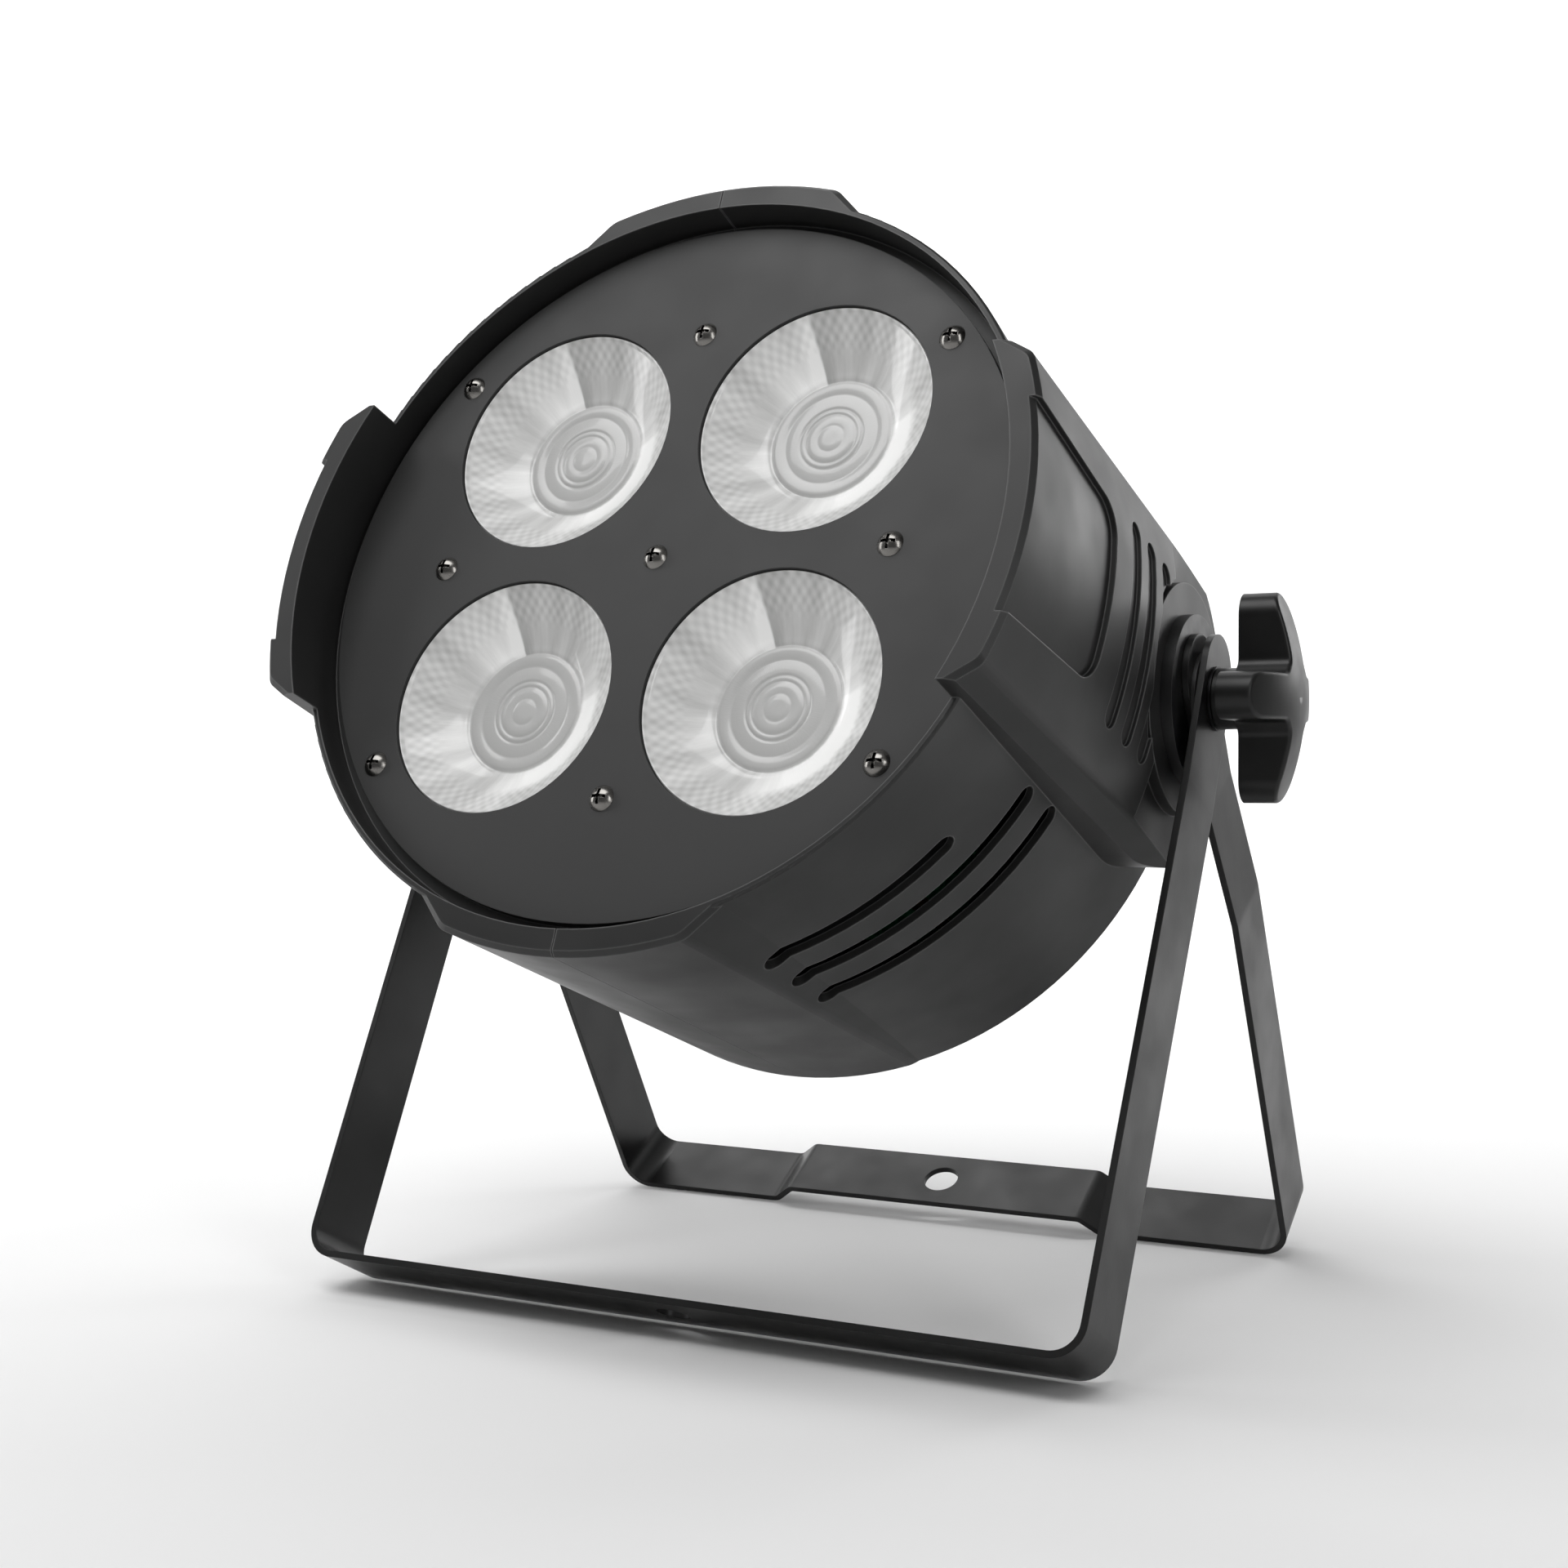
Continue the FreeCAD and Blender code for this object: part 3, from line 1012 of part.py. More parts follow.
def head_nodes():
    shell = housing()
    nodes = {
        "housing_left": housing_half(shell, -1),
        "housing_right": housing_half(shell, 1),
        "front_plate": front_plate(),
        "front_screws": group([pan_screw(x, y, 0, SCREW_LENGTH) for x, y in PLATE_SCREWS + CORNER_SCREWS]),
        "plate_standoffs": group([plate_standoff(x, y) for x, y in PLATE_SCREWS]),
        "heat_sink": heat_sink(),
        "fan_frame": fan_frame(),
        "fan_rotor": fan_rotor(),
        "fan_screws": fan_screws(),
        "driver_board": driver_board(),
        "driver_posts": driver_posts(),
        "control_board": control_board(),
        "rear_cover": rear_cover(),
        "cover_screws": group([pan_screw(x, y, COVER_OUT_Z, SCREW_LENGTH, out=-1)
                               for x, y in cover_screw_points()]),
        "display_window": display_window(),
        "display_module": display_module(),
        "dmx_in_socket": xlr_socket(-XLR_X, True),
        "dmx_out_socket": xlr_socket(XLR_X, False),
        "power_inlet": iec_socket(-IEC_X, True),
        "power_outlet": iec_socket(IEC_X, False),
        "panel_screws": panel_screws(),
        "fuse_holder": fuse_holder(),
        "safety_eye": safety_eye(),
    }
    for i, (x, y) in enumerate(LENS_CENTRES):
        nodes[f"lens_{i + 1}"] = lens_solid(x, y)
        nodes[f"lens_holder_{i + 1}"] = lens_holder(x, y)
        nodes[f"cob_led_{i + 1}"] = cob_led(x, y)
    for name, x in zip(BUTTON_NAMES, button_xs()):
        nodes[f"button_{name}"] = button(x)
    hardware = {
        "pivot_bolt": pivot_bolt(),
        "friction_pad": disc_on_bolt(PAD_R, BOSS_OUT, PAD_THICK),
        "arm_spacer": disc_on_bolt(SPACER_R, SPACER_X, SPACER_THICK),
        "knob_washer": disc_on_bolt(WASHER_R, WASHER_X, WASHER_THICK),
        "knob_insert": on_side(knob_insert()),
        "knob": on_side(knob_solid()),
    }
    for name, shape in hardware.items():
        nodes[f"{name}_right"] = shape
        nodes[f"{name}_left"] = mirrored(shape)
    return nodes


def assembly():
    nodes = {name: seat_head(shape) for name, shape in head_nodes().items()}
    nodes["front_yoke"] = seat_yoke(front_yoke(), FRONT_LEAN)
    nodes["rear_yoke"] = seat_yoke(rear_yoke(), -REAR_LEAN)
    box = group(list(nodes.values())).optimalBoundingBox(True, False)
    shift = V(0, -(box.YMin + box.YMax) / 2, -box.ZMin)
    for shape in nodes.values():
        shape.translate(shift)
    print("pivot axis at y", round(shift.y, 3), "z", round(PIVOT_HEIGHT + shift.z, 3))
    return nodes


os.makedirs("parts", exist_ok=True)
for node, solid in assembly().items():
    solid.exportStep(f"parts/{node}.step")
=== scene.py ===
import json
import math
import bpy
import bmesh
from mathutils import Matrix, Vector


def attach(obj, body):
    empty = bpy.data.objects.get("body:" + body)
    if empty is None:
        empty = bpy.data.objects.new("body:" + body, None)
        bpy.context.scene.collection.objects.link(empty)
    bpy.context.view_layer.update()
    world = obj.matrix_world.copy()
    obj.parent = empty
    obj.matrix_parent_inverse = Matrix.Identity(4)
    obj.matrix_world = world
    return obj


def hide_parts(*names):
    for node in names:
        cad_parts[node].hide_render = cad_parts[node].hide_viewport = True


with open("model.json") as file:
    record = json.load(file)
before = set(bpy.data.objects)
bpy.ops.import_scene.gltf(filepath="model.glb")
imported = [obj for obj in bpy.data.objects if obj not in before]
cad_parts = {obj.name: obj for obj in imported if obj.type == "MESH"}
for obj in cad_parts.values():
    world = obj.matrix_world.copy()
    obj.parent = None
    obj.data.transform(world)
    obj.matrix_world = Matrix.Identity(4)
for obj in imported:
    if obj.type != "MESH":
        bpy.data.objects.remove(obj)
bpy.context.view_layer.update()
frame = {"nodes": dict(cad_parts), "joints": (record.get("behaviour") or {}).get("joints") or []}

nodes = frame["nodes"]
joints = {joint["name"]: joint for joint in frame["joints"]}
mm = 0.001

# Lamp coordinates: x right, y up the plate, z out of the lenses, plate face at z = 0.
pivot = Vector(joints["head_tilt"]["pos_m"])
lensAxis = Vector(joints["fan_spin"]["axis"]).normalized()
lampTurn = Matrix((Vector((1, 0, 0)), lensAxis.cross(Vector((1, 0, 0))), lensAxis)).transposed().to_4x4()
plateFromPivot = Vector((0, -2, 107.6)) * mm
lampFrame = Matrix.Translation(pivot) @ lampTurn @ Matrix.Translation(plateFromPivot)


def lampBox(node):
    # lowest and highest corner of a node, in lamp coordinates
    back = lampFrame.inverted()
    points = [back @ vertex.co for vertex in nodes[node].data.vertices]
    return (Vector([min(p[i] for p in points) for i in range(3)]),
            Vector([max(p[i] for p in points) for i in range(3)]))


print("frame loaded:", len(nodes), "nodes")


# Colours and nodes

def toLinear(hexColour):
    channels = [int(hexColour[i:i + 2], 16) / 255 for i in (1, 3, 5)]
    linear = [c / 12.92 if c <= 0.04045 else ((c + 0.055) / 1.055) ** 2.4 for c in channels]
    return (*linear, 1.0)


def addNode(tree, kind, inputs=None, **settings):
    node = tree.nodes.new(kind)
    for name, value in settings.items():
        setattr(node, name, value)
    for name, value in (inputs or {}).items():
        if isinstance(value, bpy.types.NodeSocket):
            tree.links.new(value, node.inputs[name])
        else:
            node.inputs[name].default_value = value
    return node


def newMaterial(name):
    material = bpy.data.materials.new(name)
    material.use_nodes = True
    tree = material.node_tree
    tree.nodes.clear()
    place = addNode(tree, "ShaderNodeTexCoord").outputs["Object"]
    return material, tree, place


def finishMaterial(tree, inputs):
    shader = addNode(tree, "ShaderNodeBsdfPrincipled", inputs)
    addNode(tree, "ShaderNodeOutputMaterial", {"Surface": shader.outputs["BSDF"]})


def twoTone(tree, place, dark, light, size):
    # slow drift between two close colours; size is that of one patch, in metres
    noise = addNode(tree, "ShaderNodeTexNoise", {"Vector": place, "Scale": 1 / size, "Detail": 3.0})
    mix = addNode(tree, "ShaderNodeMix", {"Factor": noise.outputs["Fac"], "A": toLinear(dark),
                                          "B": toLinear(light)}, data_type="RGBA")
    return mix.outputs["Result"]


def grain(tree, place, size, height, strength, roundness):
    # fine bumps over softened edges; all sizes in metres
    edge = addNode(tree, "ShaderNodeBevel", {"Radius": roundness}, samples=4)
    noise = addNode(tree, "ShaderNodeTexNoise", {"Vector": place, "Scale": 1 / size, "Detail": 2.0})
    bump = addNode(tree, "ShaderNodeBump", {"Height": noise.outputs["Fac"], "Distance": height,
                                            "Strength": strength, "Normal": edge.outputs["Normal"]})
    return bump.outputs["Normal"]


def roughPatches(tree, place, low, high, size):
    # roughness drifts between two values in patches of this size
    noise = addNode(tree, "ShaderNodeTexNoise", {"Vector": place, "Scale": 1 / size, "Detail": 2.0})
    spread = addNode(tree, "ShaderNodeMapRange", {"Value": noise.outputs["Fac"], "From Min": 0.3,
                                                  "From Max": 0.7, "To Min": low, "To Max": high})
    return spread.outputs["Result"]


# some values below are painted light: the pale shell corners are a painted highlight, the near-black of
# metal hollows is painted shade, and the lens glow is painted light
finishes = {
    "shellDark": "#1d1d1d", "shellLight": "#262626", "shellEdgeHighlight": "#6e6e6e",
    "shellGrain": 1.1 * mm, "shellRough": (0.36, 0.46), "edgeHighlightTurn": (0.86, 0.985), "edgeHighlightShare": 0.75,
    "plateDark": "#262626", "plateLight": "#2b2b2b", "plateGrain": 0.9 * mm, "plateRough": (0.50, 0.58),
    "coatDark": "#101010", "coatLight": "#161616", "coatGrain": 1.6 * mm, "coatRough": (0.30, 0.40),
    "knobDark": "#0b0b0b", "knobLight": "#101010", "knobRough": (0.34, 0.42),
    "optic": "#eaeae9", "opticShade": "#979796", "opticRough": 0.36, "opticPaintedGlow": 0.13,
    "nickel": "#7d7b78", "zinc": "#b9bbbd", "castAluminium": "#9fa3a6", "brass": "#c2a25a",
    "blackened": "#2a2a2b", "recess": "#050505", "recessReach": 1.2 * mm, "recessOpen": (0.45, 0.8),
    "recessShare": (0.03, 1.0), "nylon": "#141414", "rubber": "#101011",
    "boardGreen": "#12452a", "boardGreenLight": "#1a5a38", "socketBlack": "#111112",
    "keyGrey": "#2b2b2d", "glassBlack": "#060708", "ceramicWhite": "#d8d4c6", "holderWhite": "#cfcfcd"}


def shellAbs():
    # moulded ABS from a spark-eroded tool: satin black with a fine even grain and soft edge glints
    material, tree, place = newMaterial("mouldedAbs")
    body = twoTone(tree, place, finishes["shellDark"], finishes["shellLight"], 45 * mm)
    # painted highlight: the corners are lightened in colour to stand for the thin pale lines that light
    # draws along the edges
    corner = addNode(tree, "ShaderNodeBevel", {"Radius": 0.8 * mm}, samples=6).outputs["Normal"]
    face = addNode(tree, "ShaderNodeNewGeometry").outputs["Normal"]
    turned = addNode(tree, "ShaderNodeVectorMath", {0: corner, 1: face}, operation="DOT_PRODUCT")
    low, high = finishes["edgeHighlightTurn"]
    paintedEdgeHighlight = addNode(tree, "ShaderNodeMapRange", {
        "Value": turned.outputs["Value"], "From Min": low, "From Max": high,
        "To Min": finishes["edgeHighlightShare"], "To Max": 0.0})
    colour = addNode(tree, "ShaderNodeMix", {"Factor": paintedEdgeHighlight.outputs["Result"], "A": body,
                                             "B": toLinear(finishes["shellEdgeHighlight"])}, data_type="RGBA")
    # the real grain is near 0.2 mm; it is drawn coarser so that it shows
    finishMaterial(tree, {
        "Base Color": colour.outputs["Result"], "IOR": 1.53, "Specular IOR Level": 0.34,
        "Normal": grain(tree, place, finishes["shellGrain"], 0.05 * mm, 0.16, 0.35 * mm),
        "Roughness": roughPatches(tree, place, *finishes["shellRough"], 25 * mm)})
    return material


def paintedSteel():
    # mild steel sheet under matt powder coat: charcoal, with a faint orange-peel ripple
    material, tree, place = newMaterial("mattPaintedSteel")
    finishMaterial(tree, {
        "Base Color": twoTone(tree, place, finishes["plateDark"], finishes["plateLight"], 60 * mm),
        "Normal": grain(tree, place, finishes["plateGrain"], 0.04 * mm, 0.12, 0.3 * mm), "IOR": 1.5,
        "Roughness": roughPatches(tree, place, *finishes["plateRough"], 20 * mm)})
    return material


def powderCoat():
    # black powder coat on bent bar: half gloss, orange peel near 1.5 mm, broad glints at the bends
    material, tree, place = newMaterial("blackPowderCoat")
    finishMaterial(tree, {
        "Base Color": twoTone(tree, place, finishes["coatDark"], finishes["coatLight"], 30 * mm),
        "Normal": grain(tree, place, finishes["coatGrain"], 0.08 * mm, 0.15, 0.4 * mm),
        "IOR": 1.5, "Specular IOR Level": 0.34,
        "Roughness": roughPatches(tree, place, *finishes["coatRough"], 18 * mm)})
    return material


def knobNylon():
    # glass-filled nylon, moulded: nearly black, with a silky sheen on its rounded lobes
    material, tree, place = newMaterial("mouldedNylon")
    finishMaterial(tree, {
        "Base Color": twoTone(tree, place, finishes["knobDark"], finishes["knobLight"], 12 * mm),
        "Normal": grain(tree, place, 0.8 * mm, 0.03 * mm, 0.12, 0.4 * mm),
        "IOR": 1.53, "Specular IOR Level": 0.34,
        "Roughness": roughPatches(tree, place, *finishes["knobRough"], 9 * mm)})
    return material


def metal(name, colourHex, roughness, brushSize, stretch):
    # bare or plated metal; brushSize is the spacing of the tool marks and stretch draws them out along x
    material, tree, place = newMaterial(name)
    marks = addNode(tree, "ShaderNodeMapping", {"Vector": place, "Scale": (1 / stretch, 1, 1)})
    # painted shade: cross recesses and other small hollows are darkened in colour, as far as the occlusion
    # reaches
    hollow = addNode(tree, "ShaderNodeAmbientOcclusion", {"Distance": finishes["recessReach"]}, samples=8)
    shut, wide = finishes["recessOpen"]
    low, high = finishes["recessShare"]
    depth = addNode(tree, "ShaderNodeMapRange", {"Value": hollow.outputs["AO"], "From Min": shut,
                                                 "From Max": wide, "To Min": low, "To Max": high})
    shade = addNode(tree, "ShaderNodeMix", {
        "Factor": depth.outputs["Result"], "A": toLinear(finishes["recess"]), "B": toLinear(colourHex)},
        data_type="RGBA")
    finishMaterial(tree, {
        "Base Color": shade.outputs["Result"], "Metallic": 1.0,
        "Normal": grain(tree, marks.outputs["Vector"], brushSize, 0.01 * mm, 0.25, 0.15 * mm),
        "Roughness": roughPatches(tree, marks.outputs["Vector"], *roughness, 3 * mm)})
    return material


def plastic(name, colourHex, roughness, ior, grainSize=0.7 * mm, coat=0.0):
    # small moulded parts: one even colour with a fine grain
    material, tree, place = newMaterial(name)
    finishMaterial(tree, {
        "Base Color": toLinear(colourHex), "IOR": ior, "Coat Weight": coat, "Coat Roughness": 0.05,
        "Normal": grain(tree, place, grainSize, 0.02 * mm, 0.15, 0.25 * mm),
        "Roughness": roughPatches(tree, place, roughness - 0.05, roughness + 0.05, 6 * mm)})
    return material


def circuitBoard():
    # glass-epoxy board: green solder resist over faint copper tracks
    material, tree, place = newMaterial("solderResist")
    tracks = addNode(tree, "ShaderNodeTexBrick", {"Vector": place, "Scale": 1 / (6 * mm),
                                                  "Color1": toLinear(finishes["boardGreen"]),
                                                  "Color2": toLinear(finishes["boardGreen"]),
                                                  "Mortar": toLinear(finishes["boardGreenLight"]),
                                                  "Mortar Size": 0.06})
    finishMaterial(tree, {
        "Base Color": tracks.outputs["Color"], "IOR": 1.55, "Roughness": 0.3,
        "Normal": grain(tree, place, 1.0 * mm, 0.02 * mm, 0.2, 0.2 * mm)})
    return material


# Painted reflection in a lens, drawn where light turns back inside it: angles in radians from its right
# side, lengths in metres.
# A row has a name, an operation and two inputs, which are earlier names or numbers. A RAMP follows
# its first input; its numbers are from, to, value before and value after.
glowSteps = [
    ("turn", "MULTIPLY", "angle", 60.0),
    ("run", "MULTIPLY", "radius", math.pi / (1.9 * mm)),
    ("turnWave", "SINE", "turn", 0.0),
    ("runWave", "SINE", "run", 0.0),
    ("facets", "MULTIPLY", "turnWave", "runWave"),
    ("nearRim", "RAMP", "radius", (25 * mm, 29 * mm, 0.0, 1.0)),
    ("diamond", "MULTIPLY", "facets", "nearRim"),
    ("onWall", "RAMP", "radius", (18 * mm, 19.5 * mm, 0.0, 1.0)),
    # painted highlight: a bright wedge above the middle disc
    ("wedgeEdge", "RAMP", "angle", (1.80, 1.83, 0.0, 1.0)),
    ("wedgeFade", "RAMP", "angle", (1.9, 2.7, 1.0, 0.0)),
    ("wedgeArc", "MULTIPLY", "wedgeEdge", "wedgeFade"),
    ("wedgeReach", "RAMP", "radius", (21 * mm, 35 * mm, 1.0, 0.3)),
    ("wedge", "MULTIPLY", "wedgeArc", "wedgeReach"),
    # painted highlight: a bright crescent beside the middle disc
    ("crescentTurn", "ADD", "angle", 0.6),
    ("besides", "ABSOLUTE", "crescentTurn", 0.0),
    ("crescentStep", "SUBTRACT", "radius", 23 * mm),
    ("outside", "ABSOLUTE", "crescentStep", 0.0),
    ("crescentEnds", "RAMP", "besides", (0.5, 1.15, 1.0, 0.0)),
    ("crescentSides", "RAMP", "outside", (2.5 * mm, 6 * mm, 1.0, 0.0)),
    ("crescent", "MULTIPLY", "crescentEnds", "crescentSides"),
    # painted shade: a darker arc just right of the wedge
    ("dimStart", "RAMP", "angle", (0.7, 1.7, 0.0, 1.0)),
    ("dimEnd", "RAMP", "angle", (1.80, 1.83, 1.0, 0.0)),
    ("dimArc", "MULTIPLY", "dimStart", "dimEnd"),
    ("dim", "MULTIPLY", "dimArc", 0.22),
    ("bright", "MAXIMUM", "wedge", "crescent"),
    ("contrast", "SUBTRACT", "bright", "dim"),
    ("paintedWallShine", "MULTIPLY", "contrast", "onWall"),
    ("paintedShine", "MULTIPLY", "paintedWallShine", 0.8),
    # painted reflection streaks along the wall, and painted shading on the diamond facets
    ("streaks", "RAMP", "streak", (0.3, 0.7, 0.2, 0.6)),
    ("facetTone", "MULTIPLY", "diamond", 0.13),
    ("wallTone", "ADD", "streaks", "facetTone"),
    ("fineRelief", "MULTIPLY", "fine", 0.8),
    ("facetRelief", "MULTIPLY", "diamond", 0.45),
    ("relief", "ADD", "fineRelief", "facetRelief")]
discTone = 0.16


def acrylicOptic():
    # polished PMMA collimator: light turns back inside its wall, so the eye sees pale silver with a
    # bright wedge above the middle disc and a bright crescent beside it, all painted reflection in the
    # colour
    material, tree, place = newMaterial("polishedAcrylic")
    split = addNode(tree, "ShaderNodeSeparateXYZ", {"Vector": place})
    x, y = split.outputs["X"], split.outputs["Y"]
    angle = addNode(tree, "ShaderNodeMath", {0: y, 1: x}, operation="ARCTAN2").outputs[0]
    flat = addNode(tree, "ShaderNodeCombineXYZ", {"X": x, "Y": y}).outputs[0]
    radius = addNode(tree, "ShaderNodeVectorMath", {0: flat}, operation="LENGTH").outputs["Value"]
    turnX, turnY = [addNode(tree, "ShaderNodeMath", {0: angle}, operation=wave).outputs[0]
                    for wave in ("COSINE", "SINE")]
    along = addNode(tree, "ShaderNodeMath", {0: radius, 1: 6.0}, operation="MULTIPLY").outputs[0]
    ray = addNode(tree, "ShaderNodeCombineXYZ", {"X": turnX, "Y": turnY, "Z": along}).outputs[0]
    made = {"angle": angle, "radius": radius}
    for name, scale, detail in (("streak", 5.0, 5.0), ("fine", 46.0, 2.0)):
        noise = addNode(tree, "ShaderNodeTexNoise", {"Vector": ray, "Scale": scale, "Detail": detail})
        made[name] = noise.outputs["Fac"]
    for name, operation, first, second in glowSteps:
        if operation == "RAMP":
            low, high, before, after = second
            step = addNode(tree, "ShaderNodeMapRange", {"Value": made[first], "From Min": low,
                                                        "From Max": high, "To Min": before,
                                                        "To Max": after})
        else:
            step = addNode(tree, "ShaderNodeMath", {0: made[first], 1: made.get(second, second)},
                           operation=operation)
        made[name] = step.outputs[0]
    ground = addNode(tree, "ShaderNodeMix", {0: made["onWall"], 2: discTone, 3: made["wallTone"]}).outputs[0]
    level = addNode(tree, "ShaderNodeMath", {0: ground, 1: made["paintedShine"]}, operation="ADD").outputs[0]
    colour = addNode(tree, "ShaderNodeMix", {
        "Factor": level, "A": toLinear(finishes["opticShade"]), "B": toLinear(finishes["optic"])},
        data_type="RGBA").outputs["Result"]
    bump = addNode(tree, "ShaderNodeBump", {"Height": made["relief"], "Distance": 0.12 * mm,
                                            "Strength": 0.4})
    # painted light: the lens also glows faintly in its own colour, though no lamp is inside it
    finishMaterial(tree, {
        "Base Color": colour, "Normal": bump.outputs["Normal"], "IOR": 1.49,
        "Roughness": finishes["opticRough"], "Coat Weight": 0.5, "Coat Roughness": 0.08,
        "Emission Color": colour, "Emission Strength": finishes["opticPaintedGlow"]})
    return material


shell = shellAbs()
plate = paintedSteel()
coat = powderCoat()
knob = knobNylon()
optic = acrylicOptic()
# nickel plate: warm grey screw heads with small sharp glints
nickel = metal("nickelPlatedSteel", finishes["nickel"], (0.2, 0.3), 0.6 * mm, 1.0)
# zinc plate: pale cool metal, brushed along x
zinc = metal("zincPlatedSteel", finishes["zinc"], (0.25, 0.38), 0.5 * mm, 3.0)
# cast aluminium: matt silver grey
aluminium = metal("castAluminium", finishes["castAluminium"], (0.4, 0.52), 0.8 * mm, 1.0)
# turned brass: yellow, with drawn-out lathe marks
brass = metal("turnedBrass", finishes["brass"], (0.22, 0.3), 0.4 * mm, 4.0)
# blackened steel: a dark edge with a dull metal glint
blackened = metal("blackenedSteel", finishes["blackened"], (0.35, 0.45), 0.6 * mm, 1.0)
# black nylon: even dark grey, half matt
nylon = plastic("blackNylon", finishes["nylon"], 0.45, 1.53)
# pressed rubber: soft black with a coarser grain
rubber = plastic("pressedRubber", finishes["rubber"], 0.4, 1.52, 0.9 * mm)
# glass-filled nylon: hard black of sockets, with a low gloss
socketPlastic = plastic("glassFilledNylon", finishes["socketBlack"], 0.38, 1.53)
# keycap ABS: dark grey and matt, so that buttons stand out from the cover
keyPlastic = plastic("keycapAbs", finishes["keyGrey"], 0.5, 1.53)
# smoked acrylic: a nearly black window with a clear mirror on top
windowGlass = plastic("smokedAcrylic", finishes["glassBlack"], 0.12, 1.49, 2.0 * mm, coat=1.0)
# alumina: warm white and matt
ceramic = plastic("alumina", finishes["ceramicWhite"], 0.5, 1.7)
# white polycarbonate: neutral white, half matt
holderPlastic = plastic("whitePolycarbonate", finishes["holderWhite"], 0.45, 1.58)
board = circuitBoard()

finishOf = {
    shell: ["housing_left", "housing_right"],
    plate: ["front_plate"],
    coat: ["front_yoke", "rear_yoke", "rear_cover"],
    knob: ["knob_left", "knob_right"],
    nickel: ["front_screws"],
    zinc: ["cover_screws", "panel_screws", "pivot_bolt_left", "pivot_bolt_right", "safety_eye", "fan_screws",
           "plate_standoffs"],
    blackened: ["knob_washer_left", "knob_washer_right"],
    aluminium: ["heat_sink"],
    brass: ["knob_insert_left", "knob_insert_right", "driver_posts"],
    nylon: ["arm_spacer_left", "arm_spacer_right"],
    rubber: ["friction_pad_left", "friction_pad_right"],
    socketPlastic: ["dmx_in_socket", "dmx_out_socket", "power_inlet", "power_outlet", "fuse_holder",
                    "fan_frame", "fan_rotor", "display_module"],
    keyPlastic: ["button_menu", "button_down", "button_up", "button_enter"],
    windowGlass: ["display_window"],
    board: ["driver_board", "control_board"],
    ceramic: [f"cob_led_{i}" for i in range(1, 5)],
    holderPlastic: [f"lens_holder_{i}" for i in range(1, 5)]}

for material, names in finishOf.items():
    for name in names:
        data = nodes[name].data
        data.materials.clear()
        data.materials.append(material)
print("materials on", sum(len(names) for names in finishOf.values()), "nodes")


# Lenses

# lengths in millimetres; bowl is the power of the dished wall
lens = {"segments": 256, "wallRows": 24, "rimRadius": 35.0, "rimDepth": 1.4, "wallFoot": 19.9,
        "footRise": 0.5, "discDepth": 12.3, "faceTip": 0.47, "chipTip": -23.7, "bowl": 1.25}


def lensFront():
    # (radius, depth) from the flange to the middle, in millimetres
    rows = [(37.3, -2.9), (36.2, -2.8), (35.8, -2.6), (35.7, -1.0), (35.5, -0.8), (35.2, -0.9)]
    rim, foot = lens["rimRadius"], lens["wallFoot"]
    top, bottom = -lens["rimDepth"], lens["footRise"] - lens["discDepth"]
    for i in range(lens["wallRows"] + 1):
        share = i / lens["wallRows"]
        rows.append((rim + (foot - rim) * share, bottom + (top - bottom) * (1 - share) ** lens["bowl"]))
    steps = [(19.4, 0.15), (19.0, -0.25), (18.6, -0.2), (18.2, 0.1), (17.4, 0.2), (14.8, 0.2), (14.4, 0.0),
             (14.0, 0.12), (10.7, 0.15), (10.0, 0.15), (9.7, -0.15), (9.4, 0.25), (8.2, 0.28), (7.9, 0.0),
             (7.6, 0.26), (6.0, 0.3), (4.4, 0.34), (4.1, 0.26), (3.8, 0.38), (2.0, 0.45)]
    return rows + [(radius, rise - lens["discDepth"]) for radius, rise in steps]


def lensBack():
    # (radius, depth) from the chip side out to the flange, in millimetres
    return [(1.5, -23.6), (9.0, -22.6), (17.6, -19.6), (18.6, -18.9), (26.0, -12.4), (35.4, -5.0),
            (37.3, -4.8)]


def buildLens():
    # turned about its middle; the face side ends in a point and so does the chip side
    mesh = bmesh.new()
    count = lens["segments"]
    front, rear = lensFront(), lensBack()
    turns = [2 * math.pi * i / count for i in range(count)]
    rings = []
    for radius, depth in front + rear:
        points = [Vector((radius * math.cos(a), radius * math.sin(a), depth)) * mm for a in turns]
        rings.append([mesh.verts.new(point) for point in points])
    steps = [(i, (i + 1) % count) for i in range(count)]
    for k, ring in enumerate(rings):
        # the two middles are closed by points instead
        if k == len(front) - 1:
            continue
        after = rings[(k + 1) % len(rings)]
        for i, j in steps:
            mesh.faces.new((ring[i], after[i], after[j], ring[j]))
    faceTip = lens["faceTip"] - lens["discDepth"]
    for ring, depth in ((rings[len(front) - 1], faceTip), (rings[len(front)], lens["chipTip"])):
        tip = mesh.verts.new(Vector((0, 0, depth)) * mm)
        for i, j in steps:
            mesh.faces.new((ring[i], ring[j], tip))
    bmesh.ops.recalc_face_normals(mesh, faces=mesh.faces)
    data = bpy.data.meshes.new("lensOptic")
    mesh.to_mesh(data)
    mesh.free()
    for polygon in data.polygons:
        polygon.use_smooth = True
    data.materials.append(optic)
    return data


lensMesh = buildLens()
for i in range(1, 5):
    low, high = lampBox(f"lens_{i}")
    centre = (low + high) / 2
    piece = bpy.data.objects.new(f"lensOptic{i}", lensMesh)
    bpy.context.scene.collection.objects.link(piece)
    piece.matrix_world = lampFrame @ Matrix.Translation((centre.x, centre.y, 0))
    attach(piece, "head")
    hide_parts(f"lens_{i}")
print("lenses built:", len(lensMesh.vertices), "points each")


# Floor, light and camera

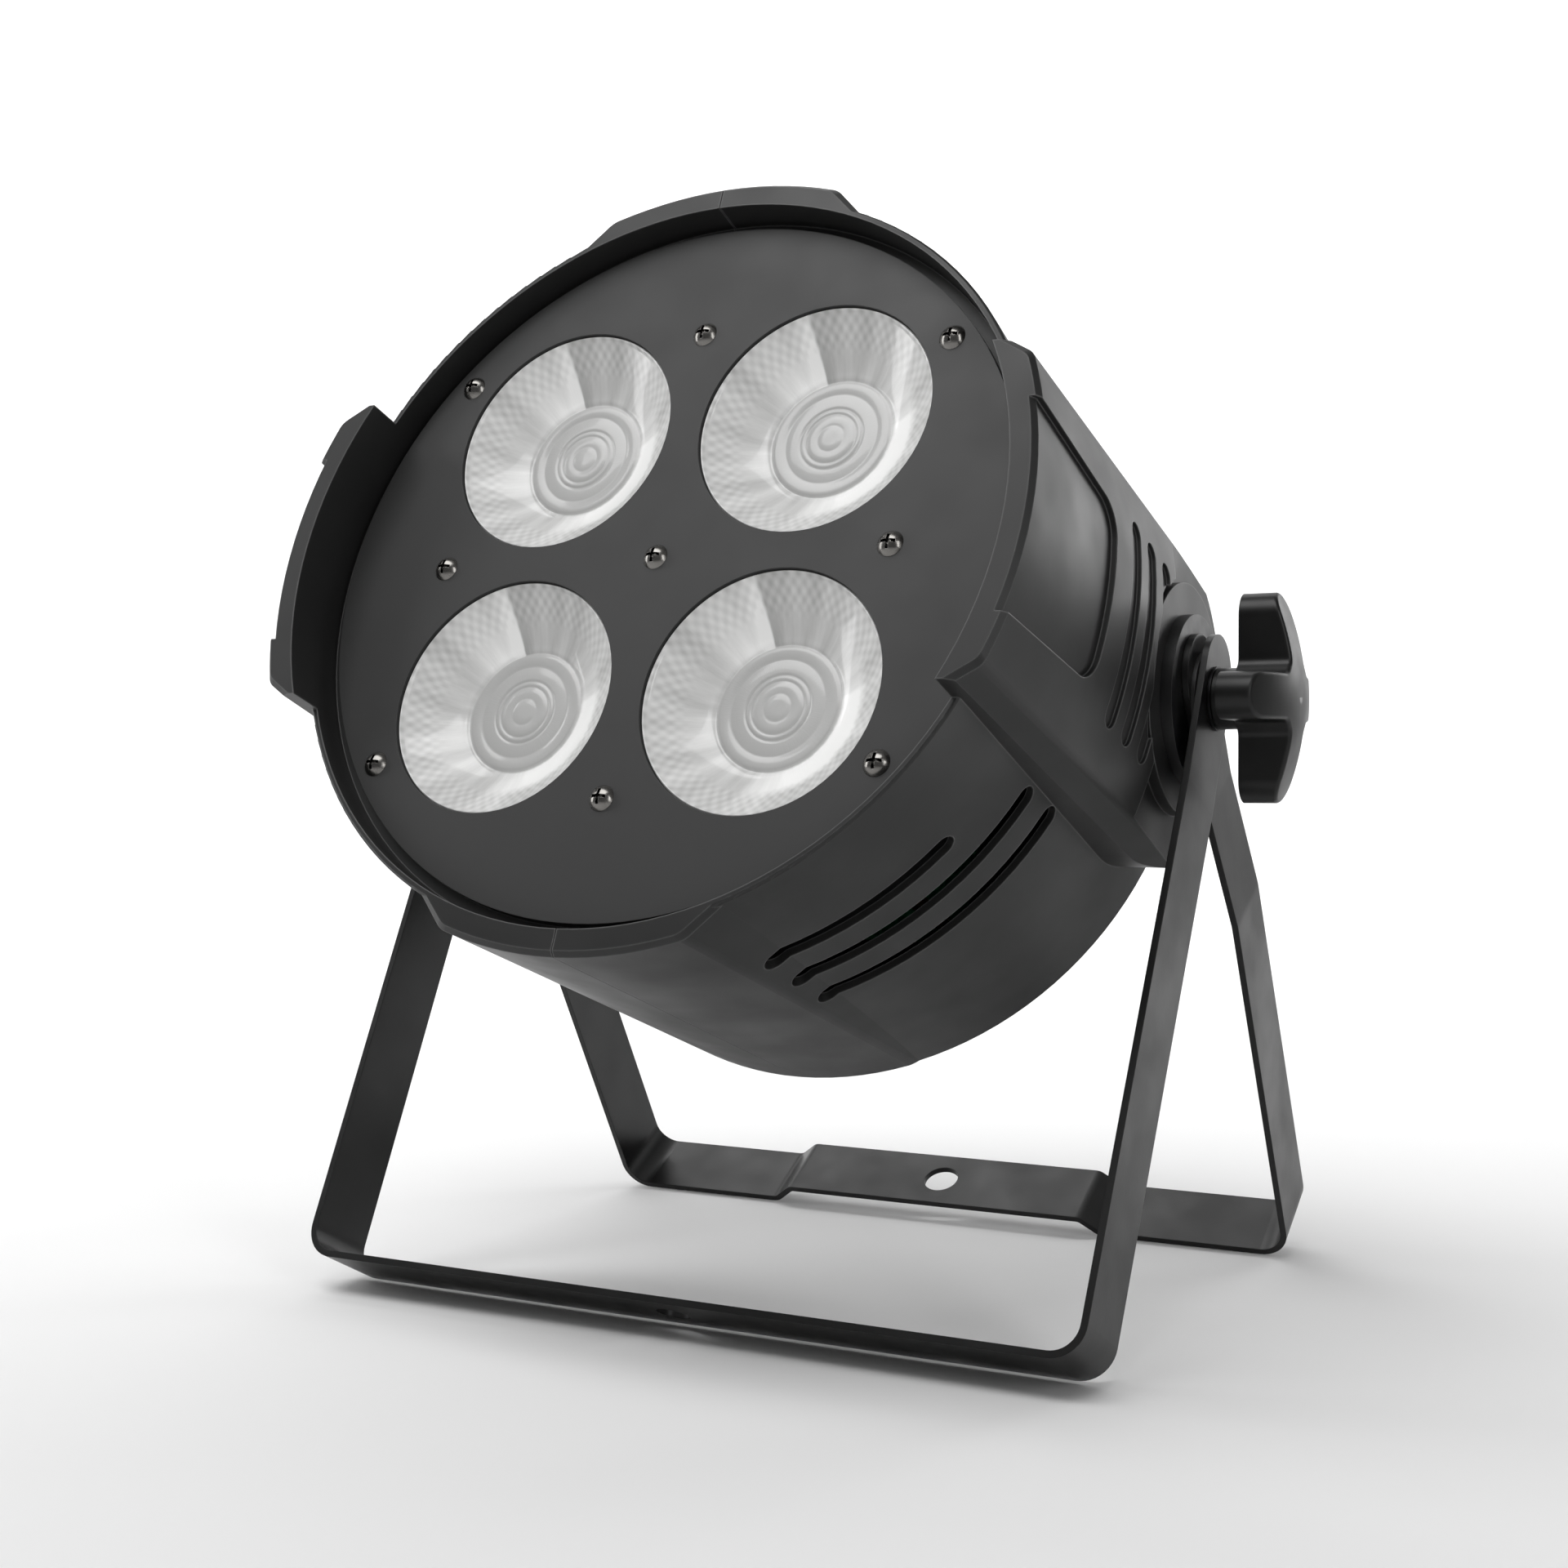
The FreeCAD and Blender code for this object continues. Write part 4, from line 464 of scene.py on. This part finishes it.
studio = {"width": 9.0, "front": -3.5, "bend": 1.4, "bendSteps": 24, "radius": 1.1, "wall": 4.0,
          "turn": 28.2, "drop": 0.5 * mm, "colourA": "#eaeaea", "colourB": "#eeeeee",
          "skyColour": "#ffffff", "skyStrength": 0.16}
lights = [
    # name, place from the pivot, aim from the pivot, width, height, watts
    ("topBox", (-0.15, -0.6, 1.15), (0, 0, 0), 1.2, 0.8, 12.2),
    ("rightStrip", (1.15, -0.75, 0.45), (0.1, 0, 0), 0.25, 0.9, 3.5),
    ("backRightBox", (0.58, 1.0, 0.34), (0.13, 0, 0), 0.4, 0.5, 2.0),
    ("leftStrip", (-1.1, -0.35, 0.35), (-0.1, 0, 0), 0.3, 0.9, 4.0),
    ("backdropBox", (-0.5, 0.9, 1.7), (-1.1, 2.4, 0.4), 2.6, 0.8, 62.0)]
viewFrom = {"place": (0.3087, -0.5984, -0.0240), "right": (0.88087, 0.47336, 0.00213),
            "up": (-0.00282, 0.00074, 1.0), "lens": 47.84, "sensor": 36, "farEnd": 50}


def buildFloor():
    # level sheet that sweeps up behind the lamp
    radius, bend = studio["radius"], studio["bend"]
    profile = [(studio["front"], 0.0), (bend, 0.0)]
    for i in range(1, studio["bendSteps"] + 1):
        angle = math.pi / 2 * i / studio["bendSteps"]
        profile.append((bend + radius * math.sin(angle), radius * (1 - math.cos(angle))))
    profile.append((bend + radius, studio["wall"]))
    mesh = bmesh.new()
    rows = [[mesh.verts.new((side * studio["width"] / 2, y, z)) for side in (-1, 1)] for y, z in profile]
    for before, after in zip(rows, rows[1:]):
        mesh.faces.new((before[0], before[1], after[1], after[0])).smooth = True
    data = bpy.data.meshes.new("studioFloor")
    mesh.to_mesh(data)
    mesh.free()
    # paper roll: pale and quite matt, so that only the shadow is seen on it
    material, tree, place = newMaterial("palePaper")
    colour = twoTone(tree, place, studio["colourA"], studio["colourB"], 400 * mm)
    finishMaterial(tree, {"Base Color": colour, "Roughness": 0.9})
    data.materials.append(material)
    floor = bpy.data.objects.new("studioFloor", data)
    bpy.context.scene.collection.objects.link(floor)
    floor.rotation_euler.z = math.radians(studio["turn"])
    floor.location.z = -studio["drop"]


def buildLights():
    for name, place, aim, width, height, watts in lights:
        data = bpy.data.lights.new(name, "AREA")
        data.shape, data.size, data.size_y, data.energy = "RECTANGLE", width, height, watts
        lamp = bpy.data.objects.new(name, data)
        bpy.context.scene.collection.objects.link(lamp)
        lamp.location = pivot + Vector(place)
        lamp.rotation_euler = (Vector(aim) - Vector(place)).to_track_quat("-Z", "Y").to_euler()
    world = bpy.data.worlds.new("studioSky")
    world.use_nodes = True
    sky = world.node_tree.nodes["Background"]
    sky.inputs["Color"].default_value = toLinear(studio["skyColour"])
    sky.inputs["Strength"].default_value = studio["skyStrength"]
    bpy.context.scene.world = world


def buildCamera():
    right, up = Vector(viewFrom["right"]).normalized(), Vector(viewFrom["up"])
    back = right.cross(up).normalized()
    up = back.cross(right)
    data = bpy.data.cameras.new("photographer")
    data.sensor_width = viewFrom["sensor"]
    data.lens = viewFrom["lens"]
    data.clip_end = viewFrom["farEnd"]
    camera = bpy.data.objects.new("photographer", data)
    bpy.context.scene.collection.objects.link(camera)
    turn = Matrix((right, up, back)).transposed().to_4x4()
    camera.matrix_world = Matrix.Translation(pivot + Vector(viewFrom["place"])) @ turn
    bpy.context.scene.camera = camera


buildFloor()
buildLights()
buildCamera()
bpy.context.scene.view_settings.view_transform = "Standard"
print("studio set")
